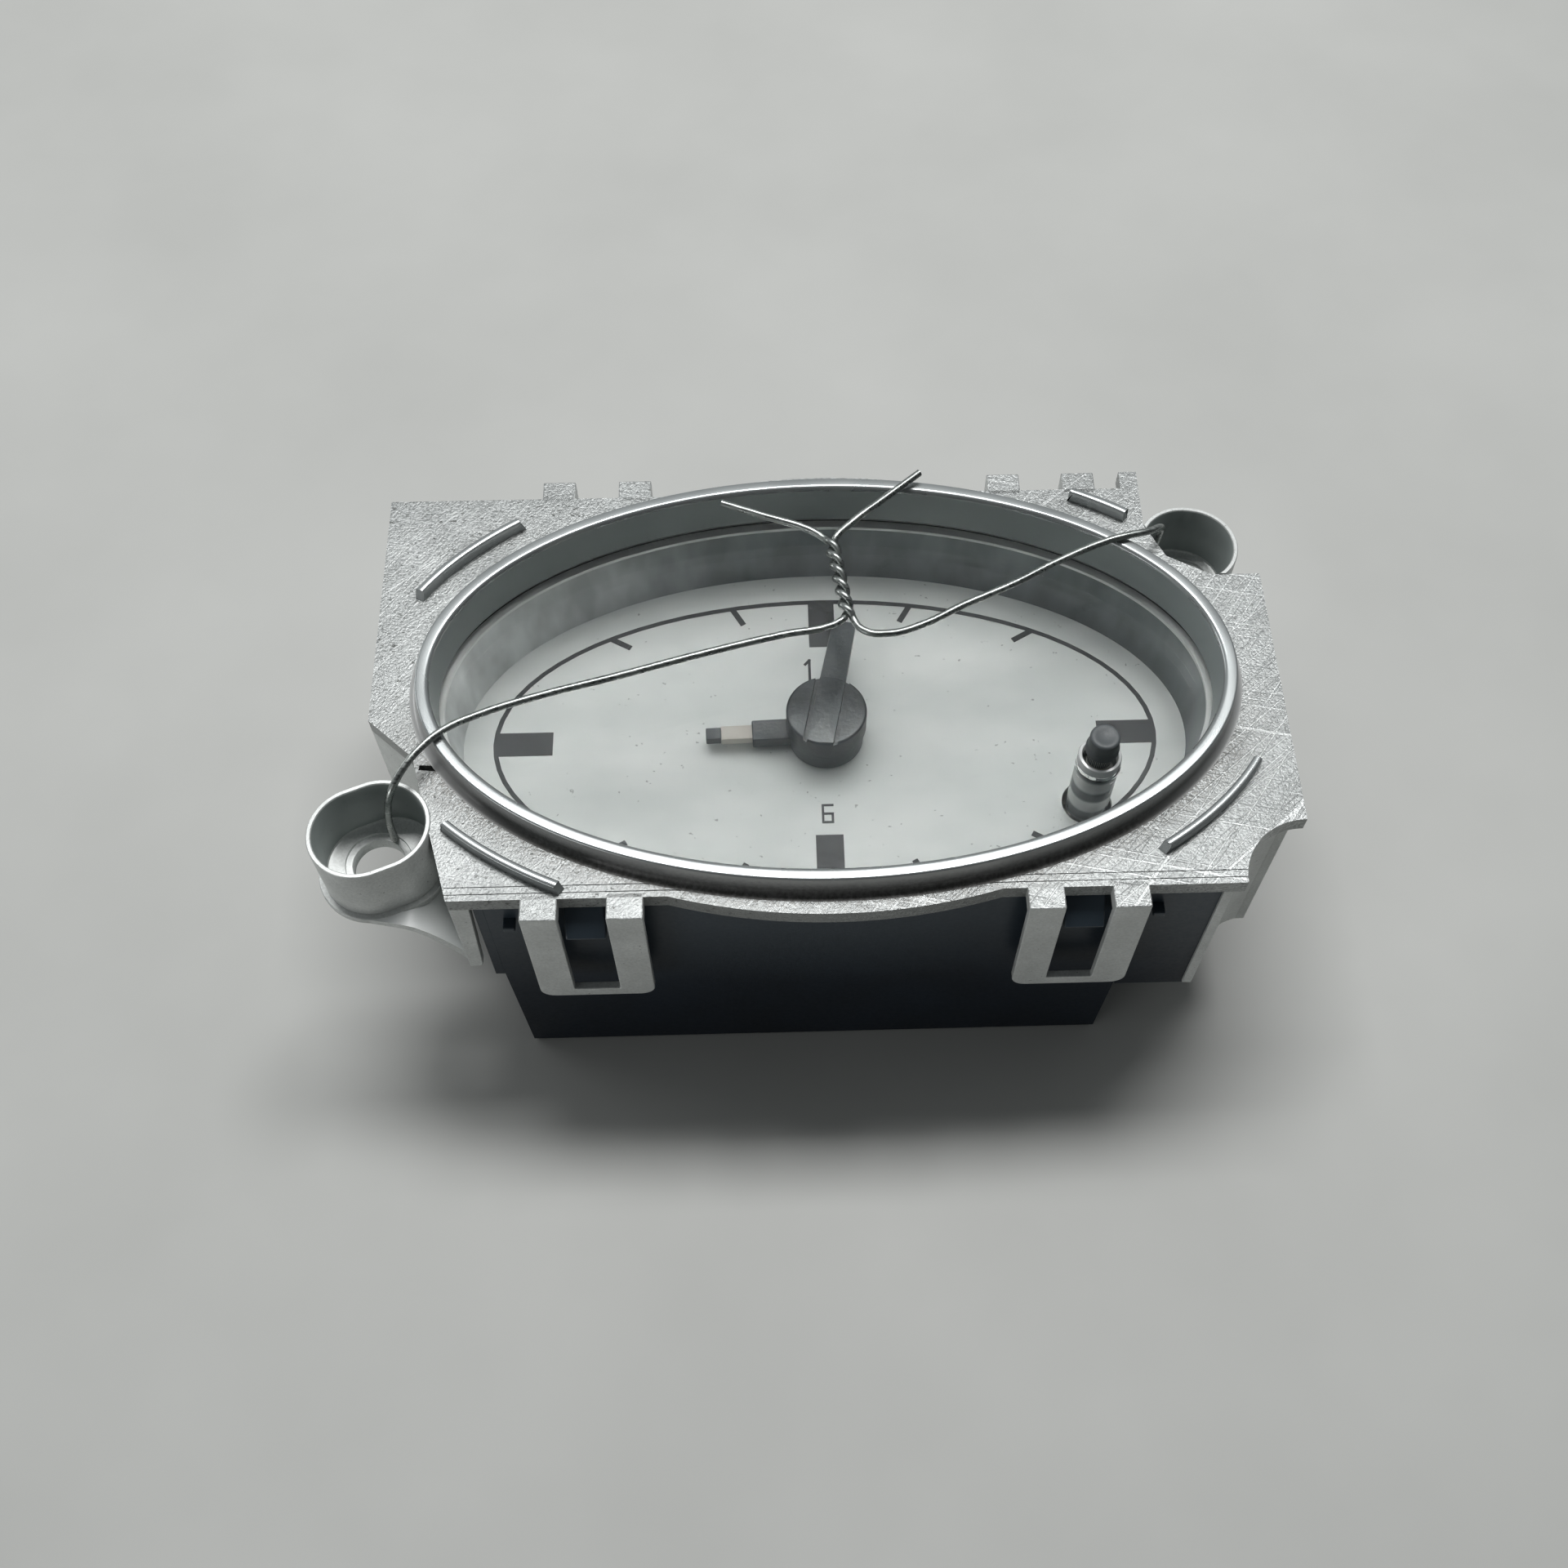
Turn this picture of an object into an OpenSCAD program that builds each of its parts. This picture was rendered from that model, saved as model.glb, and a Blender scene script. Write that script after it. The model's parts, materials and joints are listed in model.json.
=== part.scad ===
// Car dashboard clock with an oval dial, lying on its back.
// +Z is the dial's normal, +X points to 3 o'clock and +Y to 12 o'clock.
// The origin is where the hands' axis meets the plane of the rear face.

/* [Front bezel] */
// Height of the oval ring's crest above the rear face
crest_h = 45.2; // [43:0.2:48]
// Half width of the ring's crest
rim_a = 48; // [47.4:0.1:48.6]
// Half height of the ring's crest
rim_b = 27.8; // [27.4:0.1:28.2]
// Width of the ring's rounded crest
crest_w = 1.8; // [1.4:0.1:2.2]
// How far the ring's outer wall flares out at its foot
ring_flare = 1.2; // [1:0.1:1.6]
// Drop from the crest to the flange's front face
flange_drop = 3.1; // [2.6:0.1:3.8]
// Thickness of the flange
flange_t = 2.2; // [1.8:0.1:2.6]
// Half width of the flange
flange_x = 54.6; // [54:0.1:56]
// Half height of the flange's straight long edges
flange_y = 28.6; // [28.4:0.1:29.4]
// Half length of the bulge in each long edge
bulge_x = 18.9; // [17:0.1:20.5]
// How far that bulge stands out
bulge_out = 2.65; // [2.2:0.05:3]
// Radius of the quarter-round notch in the near right corner
notch_r = 8; // [6:0.5:8.5]
// Thickness of the side walls under the flange
skirt_t = 1.2; // [1:0.1:1.6]
// Depth of the left side wall below the flange's front face
skirt_left = 17.4; // [14:0.2:18]
// Depth of the right side wall below the flange's front face
skirt_right = 27.6; // [20:0.2:30]

/* [Ribs and snap loops] */
// Distance from the crest to the middle of an arc rib
rib_gap = 5.95; // [5.6:0.05:6.2]
// Width of an arc rib
rib_w = 1.1; // [0.8:0.1:1.4]
// Height of an arc rib above the flange
rib_h = 1.7; // [1.4:0.1:2.8]
// Distance of a snap loop's middle from the dial's middle
loop_x = 28.5; // [27:0.1:29]
// Width of a snap loop
loop_w = 13.8; // [13:0.1:15]
// Width of the window in a snap loop
window_w = 5.5; // [5:0.1:6.5]
// Height of a snap loop below the flange's front face
loop_h = 20.7; // [18:0.1:22]
// Height of the bar under the window
loop_bar = 1.8; // [1.4:0.1:2.4]
// Thickness of a snap loop
loop_t = 1.0; // [0.8:0.1:1.2]
// How far a snap loop's outer face stands out from the flange's edge
loop_out = 2.7; // [2.5:0.1:3.2]

/* [Screw ears] */
// Radius of the ends of an ear's cup
ear_r = 6; // [5.8:0.1:6.2]
// Wall of an ear's cup
ear_wall = 0.6; // [0.5:0.1:0.9]
// Depth of an ear's cup from its rim to its floor
ear_deep = 8.2; // [7:0.2:9]
// Thickness of an ear's floor
ear_floor = 1.4; // [1.2:0.1:2]
// Radius of the screw hole in an ear
ear_hole_r = 3.1; // [2.4:0.05:3.2]

/* [Dial and glass] */
// Drop from the crest to the front of the glass
lens_drop = 6; // [5:0.1:6.6]
// Thickness of the glass
lens_t = 1.6; // [1.2:0.1:2]
// Drop from the crest to the front of the dial
dial_drop = 16.9; // [16.5:0.1:17.4]
// Thickness of the dial
dial_t = 0.8; // [0.6:0.1:1]
// Clearance round the glass and the dial in the housing
pocket_gap = 0.2; // [0.15:0.05:0.3]
// Half width of the printed oval line
line_a = 41.7; // [40:0.1:42]
// Half height of the printed oval line
line_b = 21.2; // [20:0.1:21.6]
// Width of the printed oval line
line_w = 0.6; // [0.4:0.1:0.9]
// Length of an hour block
block_l = 7.2; // [6:0.1:8]
// Width of an hour block
block_w = 3.4; // [2.6:0.1:4]
// Length of an hour tick
tick_l = 3; // [2:0.1:4]
// Width of an hour tick
tick_w = 0.75; // [0.5:0.05:1]
// Thickness of the printed layer
print_t = 0.06; // [0.04:0.02:0.1]

/* [Hands] */
// Radius of the minute hand's cap
cap_r = 5; // [4.6:0.1:5.2]
// Height of the minute hand's cap
cap_h = 3.4; // [2.8:0.1:3.8]
// Length of the minute hand from its axis
minute_l = 13.6; // [13:0.1:16]
// Width of the minute hand at its cap
minute_w = 3.4; // [2.8:0.1:3.8]
// Thickness of the minute hand
minute_t = 1.6; // [1.2:0.1:1.8]
// Turn of the minute hand from 12 o'clock, clockwise
minute_turn = 11.5; // [0:0.5:12]
// Radius of the hour hand's disc
hour_disc_r = 4.7; // [4.4:0.1:5]
// Height of the hour hand's disc
hour_disc_h = 2.6; // [2.2:0.1:2.8]
// Reach of the hour hand's black block
hour_block_l = 9.3; // [8:0.1:10]
// Width of the hour hand's black block
hour_block_w = 2.9; // [2.4:0.1:3.2]
// Reach of the hour hand's light pointer
hour_l = 15.1; // [14:0.1:16]
// Width of the light pointer
pointer_w = 2; // [1.6:0.1:2.3]
// Turn of the hour hand from 12 o'clock, clockwise
hour_turn = 268; // [265:0.5:270]

/* [Setting knob] */
// Place of the knob along X
knob_x = 32.1; // [31.8:0.1:32.3]
// Place of the knob along Y
knob_y = -10.2; // [-10.4:0.1:-10]
// Radius of the knob's head
knob_r = 1.8; // [1.5:0.1:1.9]
// Radius of the setting stem
stem_r = 1.5; // [1.2:0.1:1.6]
// How far the knob pushes in
knob_travel = 1.2; // [1:0.1:1.2]
// Wall of the clear sleeve round the stem
sleeve_wall = 0.5; // [0.4:0.1:0.7]
// Radius of the hole in the dial for the sleeve
sleeve_hole_r = 3.1; // [2.8:0.1:3.4]

/* [Movement] */
// Tooth module of the drive train
drive_m = 0.4; // [0.38:0.01:0.42]
// Tooth module of the motion work
motion_m = 0.5; // [0.48:0.01:0.5]
// Thickness of a gear wheel
wheel_t = 0.8; // [0.6:0.1:0.9]
// Thickness of each movement plate
plate_t = 1.2; // [1:0.1:1.4]
// Radius of the centre arbor
arbor_r = 0.8; // [0.7:0.05:0.85]
// Radius of the train's pivots
pivot_r = 0.4; // [0.35:0.05:0.5]
// Radial clearance of a running fit
run_gap = 0.05; // [0.03:0.01:0.08]
// Radius of the rotor's magnet
magnet_r = 2.6; // [2.2:0.1:2.8]
// Radius of the coil's winding
coil_r = 3.2; // [2.8:0.1:3.4]
// Length of the coil between the bobbin's cheeks
coil_l = 13; // [11:0.5:14]

/* [Rear housing] */
// Left side of the lower body
body_left = 39.7; // [39.4:0.1:40.5]
// Right side of the lower body
body_right = 36; // [35.8:0.1:37]
// Wall of the housing
wall_t = 1.5; // [1.2:0.1:1.6]
// Thickness of the housing's floor
floor_t = 1.6; // [1.4:0.1:2]
// Inset of the housing's long sides from the flange's edge
body_inset = 0.4; // [0.2:0.1:0.5]
// Height of the right shoulder's underside
shoulder_right = 13.9; // [12.5:0.1:16]
// Height of the left shoulder's underside
shoulder_left = 21.4; // [20:0.1:22.5]
// Height where the bulge in the long sides begins
bulge_low = 15.4; // [13:0.2:18]

/* [Tie wire] */
// Diameter of the tie wire
wire_d = 0.9; // [0.7:0.05:0.9]

/* [Hidden] */

$fn = 48;
oval_n = 72;
hair = 0.01;

// Heights
flange_top = crest_h - flange_drop;
flange_bot = flange_top - flange_t;
lens_top = crest_h - lens_drop;
lens_bot = lens_top - lens_t;
dial_top = crest_h - dial_drop;
dial_bot = dial_top - dial_t;

// The flange's ends lie flange_x out, and end_clear or more beyond the rim
end_clear = 4.6;
end_x = max(flange_x, rim_a + end_clear);

// Oval pocket of the housing, and what sits in it
pocket_a = rim_a - 0.2;
pocket_b = rim_b - 0.2;
seat_a = pocket_a - pocket_gap;
seat_b = pocket_b - pocket_gap;
housing_oval = wall_t - 0.1;
lip_gap = 0.3;

// Inner edges of the bezel's ring, and the slope of the surround
ring_in_top = 0.85;
ring_in_bot = 1.1;
ring_below = 0.4;
ring_foot = 0.25;
surround_foot = 1.9;
surround_top = 1.1;

// The printed line lies line_a by line_b, and print_clear or more inside the surround's foot
print_clear = 0.3;
print_a = min(line_a, seat_a - surround_foot - line_w / 2 - print_clear);
print_b = min(line_b, seat_b - surround_foot - line_w / 2 - print_clear);

// Left and right ears: the middles of each cup's two round ends
ear_left = [[-end_x + 0.45, -19.5], [-end_x + 2.55, -18.65]];
ear_right = [[end_x - 8.7, 19.2], [end_x - 8.2, 19.1]];
ear_left_hole = [-end_x + 1, -19.1];
ear_right_hole = [end_x - 8, 19.4];
ear_top = flange_top + 0.2;
ear_base = ear_top - ear_deep - ear_floor;
ear_lip = 0.7;
ear_lip_t = 1;
slot_sides = 14;
top_digits_at = [-0.2, 10.4];
top_digits_h = 3;
top_digits_w = 0.35;
low_digit_at = [0, -11];
low_digit_h = 2.4;
low_digit_w = 0.3;
web_in = [0.5, 0.3];
// Section of the curved web from the left ear's lip down to the corner leg, measured from
// the near left corner along X and from the ear's base along Z
web_section = [[0.5, -5.2], [-1.1, -3.4], [-2.3, -2.1], [-3.8, -0.8], [-5.3, 0.1], [-6.8, 0.35],
               [-12, 0.35], [-12, -0.55], [-6.8, -0.7], [-5.3, -1.2], [-3.9, -2.2], [-2.5, -3.6],
               [-1.1, -5.4], [0.5, -7.6]];

// Corners of the flange that follow no rule, from the far left one round to the left
corner_far_left = [-end_x, flange_y];
corner_left = [-end_x + 0.1, -4.4];
corner_diagonal = [-end_x + 5.7, -9.6];
corner_ear = [-end_x + 8.4, -19.6];
corner_near_left = [-end_x + 10.9, -flange_y];
corner_far_right = [end_x - 0.1, 14.6];
corner_ear_in = [end_x - 6.1, 14.6];
corner_ear_mid = [end_x - 11.4, 17.6];
corner_ear_out = [end_x - 13.7, 22.6];
left_far_l = 6;
leg_w = 2.2;
tab_x = 38.7;
tab_end = 41;

// Slot left of the ring
slot_x = -46.3;
slot_y = -11.2;
slot_l = 3.4;
slot_w = 0.7;
slot_turn = -18;

// Arc ribs, as angles on the oval
ribs = [[44, 54], [134, 157.5], [214.2, 235.5], [313.5, 338]];

// Heights inside the movement: the layers keep their thickness, and the gaps between them
// share what room the dial leaves above the floor
board_t = 1.6;
base_t = plate_t - 0.2;
gaps = [1.4, 1.2, 1.6, 2.8, 0.8, 0.6, 0.6, 0.8, 1.6];
gap_sum = 11.4;
layers = board_t + base_t + plate_t + 5 * wheel_t;
k = (dial_bot - floor_t - layers) / gap_sum;
board_z = floor_t + gaps[0] * k;
base_z = board_z + board_t + gaps[1] * k;
base_top = base_z + base_t;
centre_z = base_top + gaps[2] * k;
third_z = centre_z + wheel_t + gaps[3] * k;
first_z = third_z + wheel_t + gaps[4] * k;
top_z = first_z + wheel_t + gaps[5] * k;
top_top = top_z + plate_t;
motion_z = top_top + gaps[6] * k;
hour_wheel_z = motion_z + wheel_t + gaps[7] * k;
stator_t = 1.8;
stator_z = third_z - 2.2 * k;
rotor_pinion_z = first_z - 0.3;
rotor_hub_r = 1;

// Tooth counts
rotor_teeth = 8;
first_teeth = 40;
first_pinion = 8;
third_teeth = 48;
third_pinion = 10;
centre_teeth = 60;
cannon_teeth = 12;
minute_teeth = 36;
minute_pinion = 10;
hour_teeth = 40;
setting_teeth = 20;
stem_teeth = 11;

// Directions from one axis to the next
dir_third = 200;
dir_first = 150;
dir_rotor = 100;
dir_minute = -17.6;

function pitch_r(n, m) = n * m / 2;
function step(p, d, r) = [p[0] + r * cos(d), p[1] + r * sin(d)];
function aim(p, q) = atan2(q[1] - p[1], q[0] - p[0]);
function dist(p, q) = norm(q - p);

knob_at = [knob_x, knob_y];
centre_at = [0, 0];
third_at = step(centre_at, dir_third, pitch_r(centre_teeth + third_pinion, drive_m));
first_at = step(third_at, dir_first, pitch_r(third_teeth + first_pinion, drive_m));
rotor_at = step(first_at, dir_rotor, pitch_r(first_teeth + rotor_teeth, drive_m));
motion_c = pitch_r(cannon_teeth + minute_teeth, motion_m);
minute_at = step(centre_at, dir_minute, motion_c);
hour_m = 2 * motion_c / (minute_pinion + hour_teeth);

// The setting wheel stands in mesh with the minute wheel and with the stem, and is thick
// enough to stay in mesh while the stem is pushed in
set_c1 = pitch_r(minute_teeth + setting_teeth, motion_m);
set_c2 = pitch_r(setting_teeth + stem_teeth, motion_m);
set_c3 = dist(minute_at, knob_at);
set_cos = (set_c1 * set_c1 + set_c3 * set_c3 - set_c2 * set_c2) / (2 * set_c1 * set_c3);
setting_at = step(minute_at, aim(minute_at, knob_at) + acos(min(1, set_cos)), set_c1);

// Hands
hub_gap = 0.4;
hour_disc_z = dial_top + hub_gap;
cap_z = hour_disc_z + hour_disc_h + 0.2;
cap_top = cap_z + cap_h;
cannon_r = 1.5;
hour_tube_r = 2.3;
groove_w = 0.5;
groove_h = 0.5;
minute_tip_w = minute_w - 0.5;
pointer_in = 2.5;
pointer_t = 1.2;
tip_l = 1.9;
dial_hole_r = 2.7;

// Setting knob, stem, cup and spring
sleeve_r = stem_r + 0.6 + sleeve_wall;
collar_h = 1.1;
collar_top = lens_top + collar_h;
knob_top = crest_h - 0.8;
knob_skirt_r = stem_r + 0.5;
knob_skirt_z = collar_top + knob_travel + 0.1;
knob_skirt_h = 0.7;
sleeve_foot = dial_top - 0.3;
stem_pinion_z = top_top + knob_travel + 0.2;
stem_pinion_t = 1;
stem_low_r = 0.8;
cup_gap = 0.06;
cup_top = top_z - 0.8;
cup_t = 1;
spring_r = 2;
spring_wire = 0.5;
cup_r = spring_r + 0.2;

// Coil, stator and the parts on the board
coil_y = 20;
core_w = 2.2;
core_r = 2.1;
cheek = 6.8;
cheek_t = 0.8;
arm_w = 5;
arm_x = coil_l / 2 + 1 + arm_w;
yoke_w = 9.2;
stator_post_r = 1.2;
stator_post_y = [8, 17];
chip_at = [10, 14.5];
chip_size = [6, 4, 1.5];
crystal_at = [4, -20];
crystal_r = 1.2;
crystal_l = 6.4;
crystal_neck = 1.4;
cap_at = [[22, 9], [25, 13]];
cap_size_r = 1.8;
cap_size_h = 5;
lamp_at = [24, -16];
lamp_r = 1.55;
lamp_h = 4.4;
lamp_base_r = 2.6;
lamp_base_h = 2.4;
lamp_hole_r = 2.4;
pin_w = 0.8;
pin_pitch = 4;
pin_y = 1;
pin_z = 0.4;

// Housing
body_y = flange_y - body_inset;
cavity_top = dial_bot;
lug_w = window_w - 0.9;
lug_h = 3.6;
post_r = 1.8;
post_in = 6;
board_posts = [for (x = [-body_left + post_in, body_right - post_in], s = [-1, 1]) [x, s * (body_y - post_in)]];
plate_posts = [[-body_left + post_in - 1.3, 1], [body_right - post_in - 1, 16],
               [-body_left + post_in, -16], [body_right - 2 * post_in, -body_y + post_in]];
plate_near = body_y - 4.2;
plate_far = 18.5;
plate_side = 0.3;
board_side = 0.5;
board_near = 2.2;
post_plate_r = 2;
screw_r = 1;
screw_gap = 0.05;
screw_head_r = 1.9;
screw_head_h = 1.1;
socket_at = [6, 18];
socket_w = 16;
socket_d = 8;
block_left = 41.2;
block_right = 45.2;
block_right_far = 13;
block_right_near = 40;
knob_pocket_r = 3.9;
lug_in = 0.3;
side_block = 1.4;
side_block_h = 4;
side_gap = 1.25;
side_drop = 3.1;
lug_tip = 0.4;

function oval(a, b, n = oval_n) = [for (i = [0:n - 1]) [a * cos(360 * i / n), b * sin(360 * i / n)]];

function bulge_r() = (bulge_x * bulge_x + bulge_out * bulge_out) / (2 * bulge_out);
function bulge_arc(half, y, out, side, n = 16) =
    let (r = (half * half + out * out) / (2 * out), a = asin(half / r))
    [for (i = [0:n]) let (t = -a + 2 * a * i / n)
        [-side * r * sin(t), side * (y + out - r + r * cos(t))]];

module prism(points, z0, z1) {
    translate([0, 0, z0]) linear_extrude(z1 - z0) polygon(points);
}

module rod(at, r, z0, z1) {
    translate([at[0], at[1], z0]) cylinder(r = r, h = z1 - z0);
}

module box(x0, x1, y0, y1, z0, z1) {
    translate([x0, y0, z0]) cube([x1 - x0, y1 - y0, z1 - z0]);
}

module oval_sweep(a, b, profile) {
    m = len(profile);
    n = oval_n;
    points = [for (i = [0:n - 1], p = profile)
        [(a + p[0]) * cos(360 * i / n), (b + p[0]) * sin(360 * i / n), p[1]]];
    faces = [for (i = [0:n - 1], j = [0:m - 1], k = [0:1])
        let (i2 = (i + 1) % n, j2 = (j + 1) % m,
             p = i * m + j, q = i2 * m + j, r = i2 * m + j2, s = i * m + j2)
        k == 0 ? [p, q, r] : [p, r, s]];
    polyhedron(points, faces);
}

module gear(at, teeth, m, z0, z1, phase, bore = 0) {
    r = pitch_r(teeth, m);
    pitch = 360 / teeth;
    root = r - 1.15 * m;
    tip = r + 0.75 * m;
    foot_w = 0.28 * pitch;
    tip_w = 0.09 * pitch;
    outline = [for (i = [0:teeth - 1], p = [[root, -foot_w], [tip, -tip_w], [tip, tip_w], [root, foot_w]])
        let (t = phase + i * pitch + p[1]) [p[0] * cos(t), p[0] * sin(t)]];
    translate([at[0], at[1], z0]) linear_extrude(z1 - z0) difference() {
        polygon(outline);
        if (bore > 0) circle(r = bore);
    }
}

// A slot with round ends between two points
function slot_outline(ends, r) =
    let (a = aim(ends[0], ends[1]), n = slot_sides)
    [for (e = [0, 1], i = [0:n]) let (t = a + 90 + 180 * e + 180 * i / n)
        [ends[e][0] + r * cos(t), ends[e][1] + r * sin(t)]];

module slot_solid(ends, r, z0, z1) {
    prism(slot_outline(ends, r), z0, z1);
}

function notch_points() = [for (i = [0:8]) let (t = 180 - 90 * i / 8)
    [end_x + notch_r * cos(t), -flange_y + notch_r * sin(t)]];

// Flange outline, anticlockwise from the far left corner
function flange_points() = concat(
    [corner_far_left, corner_left, corner_diagonal, corner_ear, corner_near_left],
    bulge_arc(bulge_x, flange_y, bulge_out, -1),
    notch_points(),
    [corner_far_right, corner_ear_in, corner_ear_mid, corner_ear_out,
     [tab_end, flange_y + loop_out], [tab_x, flange_y + loop_out], [tab_x, flange_y]],
    bulge_arc(bulge_x, flange_y, bulge_out, 1));

module flange_plate() {
    translate([0, 0, flange_bot]) linear_extrude(flange_t) difference() {
        polygon(flange_points());
        polygon(oval(rim_a, rim_b));
        translate([slot_x, slot_y]) rotate(slot_turn) square([slot_l, slot_w], center = true);
    }
}

// The ring's section, from its foot up: height above the flange's back face, then its
// inner and outer edges, measured outwards from the crest's oval
function ring_slices() =
    let (h = crest_h - flange_bot, c = crest_w / 2, low = lens_top + lip_gap - flange_bot)
    [[low, -ring_in_bot, -ring_below],
     [max(ring_foot, low + ring_foot), -ring_in_bot + 0.05, ring_flare],
     [flange_t + 0.9, -ring_in_bot + 0.1, ring_flare - 0.1],
     [h - 0.85, -ring_in_top, c],
     [h - 0.35, -c * 0.75, c * 0.8],
     [h - 0.12, -c * 0.4, c * 0.45],
     [h, 0, 0]];

module ring() {
    rows = ring_slices();
    for (i = [0:len(rows) - 2])
        let (row = rows[i], z0 = flange_bot + row[0] - (i > 0 ? hair : 0), z1 = flange_bot + rows[i + 1][0])
        translate([0, 0, z0]) linear_extrude(z1 - z0) difference() {
            polygon(oval(rim_a + row[2], rim_b + row[2]));
            polygon(oval(rim_a + row[1], rim_b + row[1]));
        }
}

module rib(span) {
    n = 12;
    outer = [for (i = [0:n]) let (t = span[0] + (span[1] - span[0]) * i / n)
        [(rim_a + rib_gap + rib_w / 2) * cos(t), (rim_b + rib_gap + rib_w / 2) * sin(t)]];
    inner = [for (i = [n:-1:0]) let (t = span[0] + (span[1] - span[0]) * i / n)
        [(rim_a + rib_gap - rib_w / 2) * cos(t), (rim_b + rib_gap - rib_w / 2) * sin(t)]];
    prism(concat(outer, inner), flange_bot, flange_top + rib_h);
}

// A wall of even thickness on the inner side of a run of flange corners
function inner_side(p, i) =
    let (a = unit(p[max(i, 1)] - p[max(i, 1) - 1]), b = unit(p[min(i, len(p) - 2) + 1] - p[min(i, len(p) - 2)]))
    p[i] + [-a[1] - b[1], a[0] + b[0]] * skirt_t / (1 + a * b);

module wall_run(p, z0) {
    prism(concat(p, [for (i = [len(p) - 1:-1:0]) inner_side(p, i)]), z0, flange_bot + hair);
}

module skirts() {
    left_z = flange_top - skirt_left;
    right_z = flange_top - skirt_right;
    wall_run([corner_far_left, corner_left, corner_diagonal, corner_ear, corner_near_left], left_z);
    box(-end_x, -end_x + left_far_l, flange_y - skirt_t, flange_y, left_z, flange_bot + hair);
    box(corner_near_left[0], corner_near_left[0] + leg_w, -flange_y, -flange_y + skirt_t,
        left_z - hair, flange_bot + hair);
    box(end_x - skirt_t, end_x, -flange_y + notch_r - hair, corner_far_right[1], right_z,
        flange_bot + hair);
    wall_run(notch_points(), right_z);
}

module snap_loop(side_x, side_y) {
    x0 = loop_x - loop_w / 2;
    w0 = loop_x - window_w / 2;
    out = flange_y + loop_out;
    mirror([side_x < 0 ? 1 : 0, 0, 0]) mirror([0, side_y < 0 ? 1 : 0, 0]) {
        for (x = [x0, w0 + window_w])
            box(x, x + w0 - x0, flange_y - 1, out, flange_bot, flange_top);
        translate([0, out, 0]) rotate([90, 0, 0]) linear_extrude(loop_t) difference() {
            translate([x0, flange_top - loop_h]) square([loop_w, loop_h]);
            translate([w0, flange_top - loop_h + loop_bar]) square([window_w, loop_h]);
        }
    }
}

module ear_bore(ends, hole) {
    slot_solid(ends, ear_r - ear_wall, ear_base + ear_floor, ear_top + 1);
    rod(hole, ear_hole_r, ear_base - 3, ear_top);
}

// The right ear's cup, whose near side runs under the flange
module right_ear() {
    difference() {
        slot_solid(ear_right, ear_r, ear_base, ear_top);
        ear_bore(ear_right, ear_right_hole);
        prism(flange_points(), flange_top - flange_t / 4, ear_top + 1);
    }
}

// The curved web that ties the left ear to the flange's near left corner
module left_web() {
    far = ear_left[0] - [1.1, ear_r + 0.5];
    intersection() {
        prism([far, corner_near_left + web_in, corner_ear + web_in], ear_base - ear_deep, ear_top);
        translate([corner_near_left[0], 0, ear_base]) rotate([90, 0, 0])
            linear_extrude(flange_y) polygon(web_section);
    }
}

module front_bezel() {
    color("#b4b8b8") {
        difference() {
            union() {
                flange_plate();
                ring();
                for (span = ribs) rib(span);
                skirts();
                for (sx = [-1, 1], sy = [-1, 1]) snap_loop(sx, sy);
                difference() {
                    slot_solid(ear_left, ear_r, ear_base, ear_top);
                    prism(flange_points(), flange_top, ear_top + 1);
                }
                slot_solid(ear_left, ear_r + ear_lip, ear_base + 0.4 - ear_lip_t, ear_base + 0.4);
                left_web();
            }
            ear_bore(ear_left, ear_left_hole);
        }
        right_ear();
    }
}

module lens() {
    color("#dfe6e6", 0.35) difference() {
        union() {
            prism(oval(seat_a, seat_b), lens_bot, lens_top);
            rod(knob_at, sleeve_r, sleeve_foot, collar_top);
        }
        rod(knob_at, sleeve_r - sleeve_wall, sleeve_foot + 1, collar_top + 1);
        rod(knob_at, stem_r + run_gap, sleeve_foot - 1, collar_top);
    }
}

module inner_surround() {
    color("#8f9496") oval_sweep(seat_a, seat_b, [
        [-surround_foot, dial_top],
        [0, dial_top],
        [0, lens_bot],
        [-surround_top, lens_bot]]);
}

module dial() {
    color("#cdd3d3") difference() {
        prism(oval(seat_a, seat_b), dial_bot, dial_top);
        rod(centre_at, dial_hole_r, dial_bot - 1, dial_top + 1);
        rod(knob_at, sleeve_hole_r, dial_bot - 1, dial_top + 1);
    }
}

// A printed stroke that runs inwards from the oval line along an hour's direction
module hour_stroke(hour, len_mm, w) {
    t = 90 - 30 * hour;
    reach = 1 / sqrt(pow(cos(t) / print_a, 2) + pow(sin(t) / print_b, 2));
    rotate(t) translate([reach - len_mm, -w / 2]) square([len_mm, w]);
}

// Plain digits from straight strokes, each on a grid one unit wide and two high
function digit_strokes(d) =
    d == 1 ? [[[0.5, 0], [0.5, 2]], [[0.5, 2], [0.15, 1.6]]] :
    d == 2 ? [[[0, 2], [1, 2]], [[1, 2], [1, 1]], [[1, 1], [0, 1]], [[0, 1], [0, 0]], [[0, 0], [1, 0]]] :
    [[[1, 2], [0, 2]], [[0, 2], [0, 0]], [[0, 0], [1, 0]], [[1, 0], [1, 1]], [[1, 1], [0, 1]]];

module stroke(p, q, w) {
    translate(p) rotate(aim(p, q)) translate([-w / 2, -w / 2]) square([dist(p, q) + w, w]);
}

module digits(list, size, w) {
    for (i = [0:len(list) - 1])
        translate([(i - (len(list) - 1) / 2) * size * 0.95 - size * 0.3, -size / 2])
            for (s = digit_strokes(list[i])) stroke(s[0] * size * 0.5, s[1] * size * 0.5, w);
}

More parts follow.
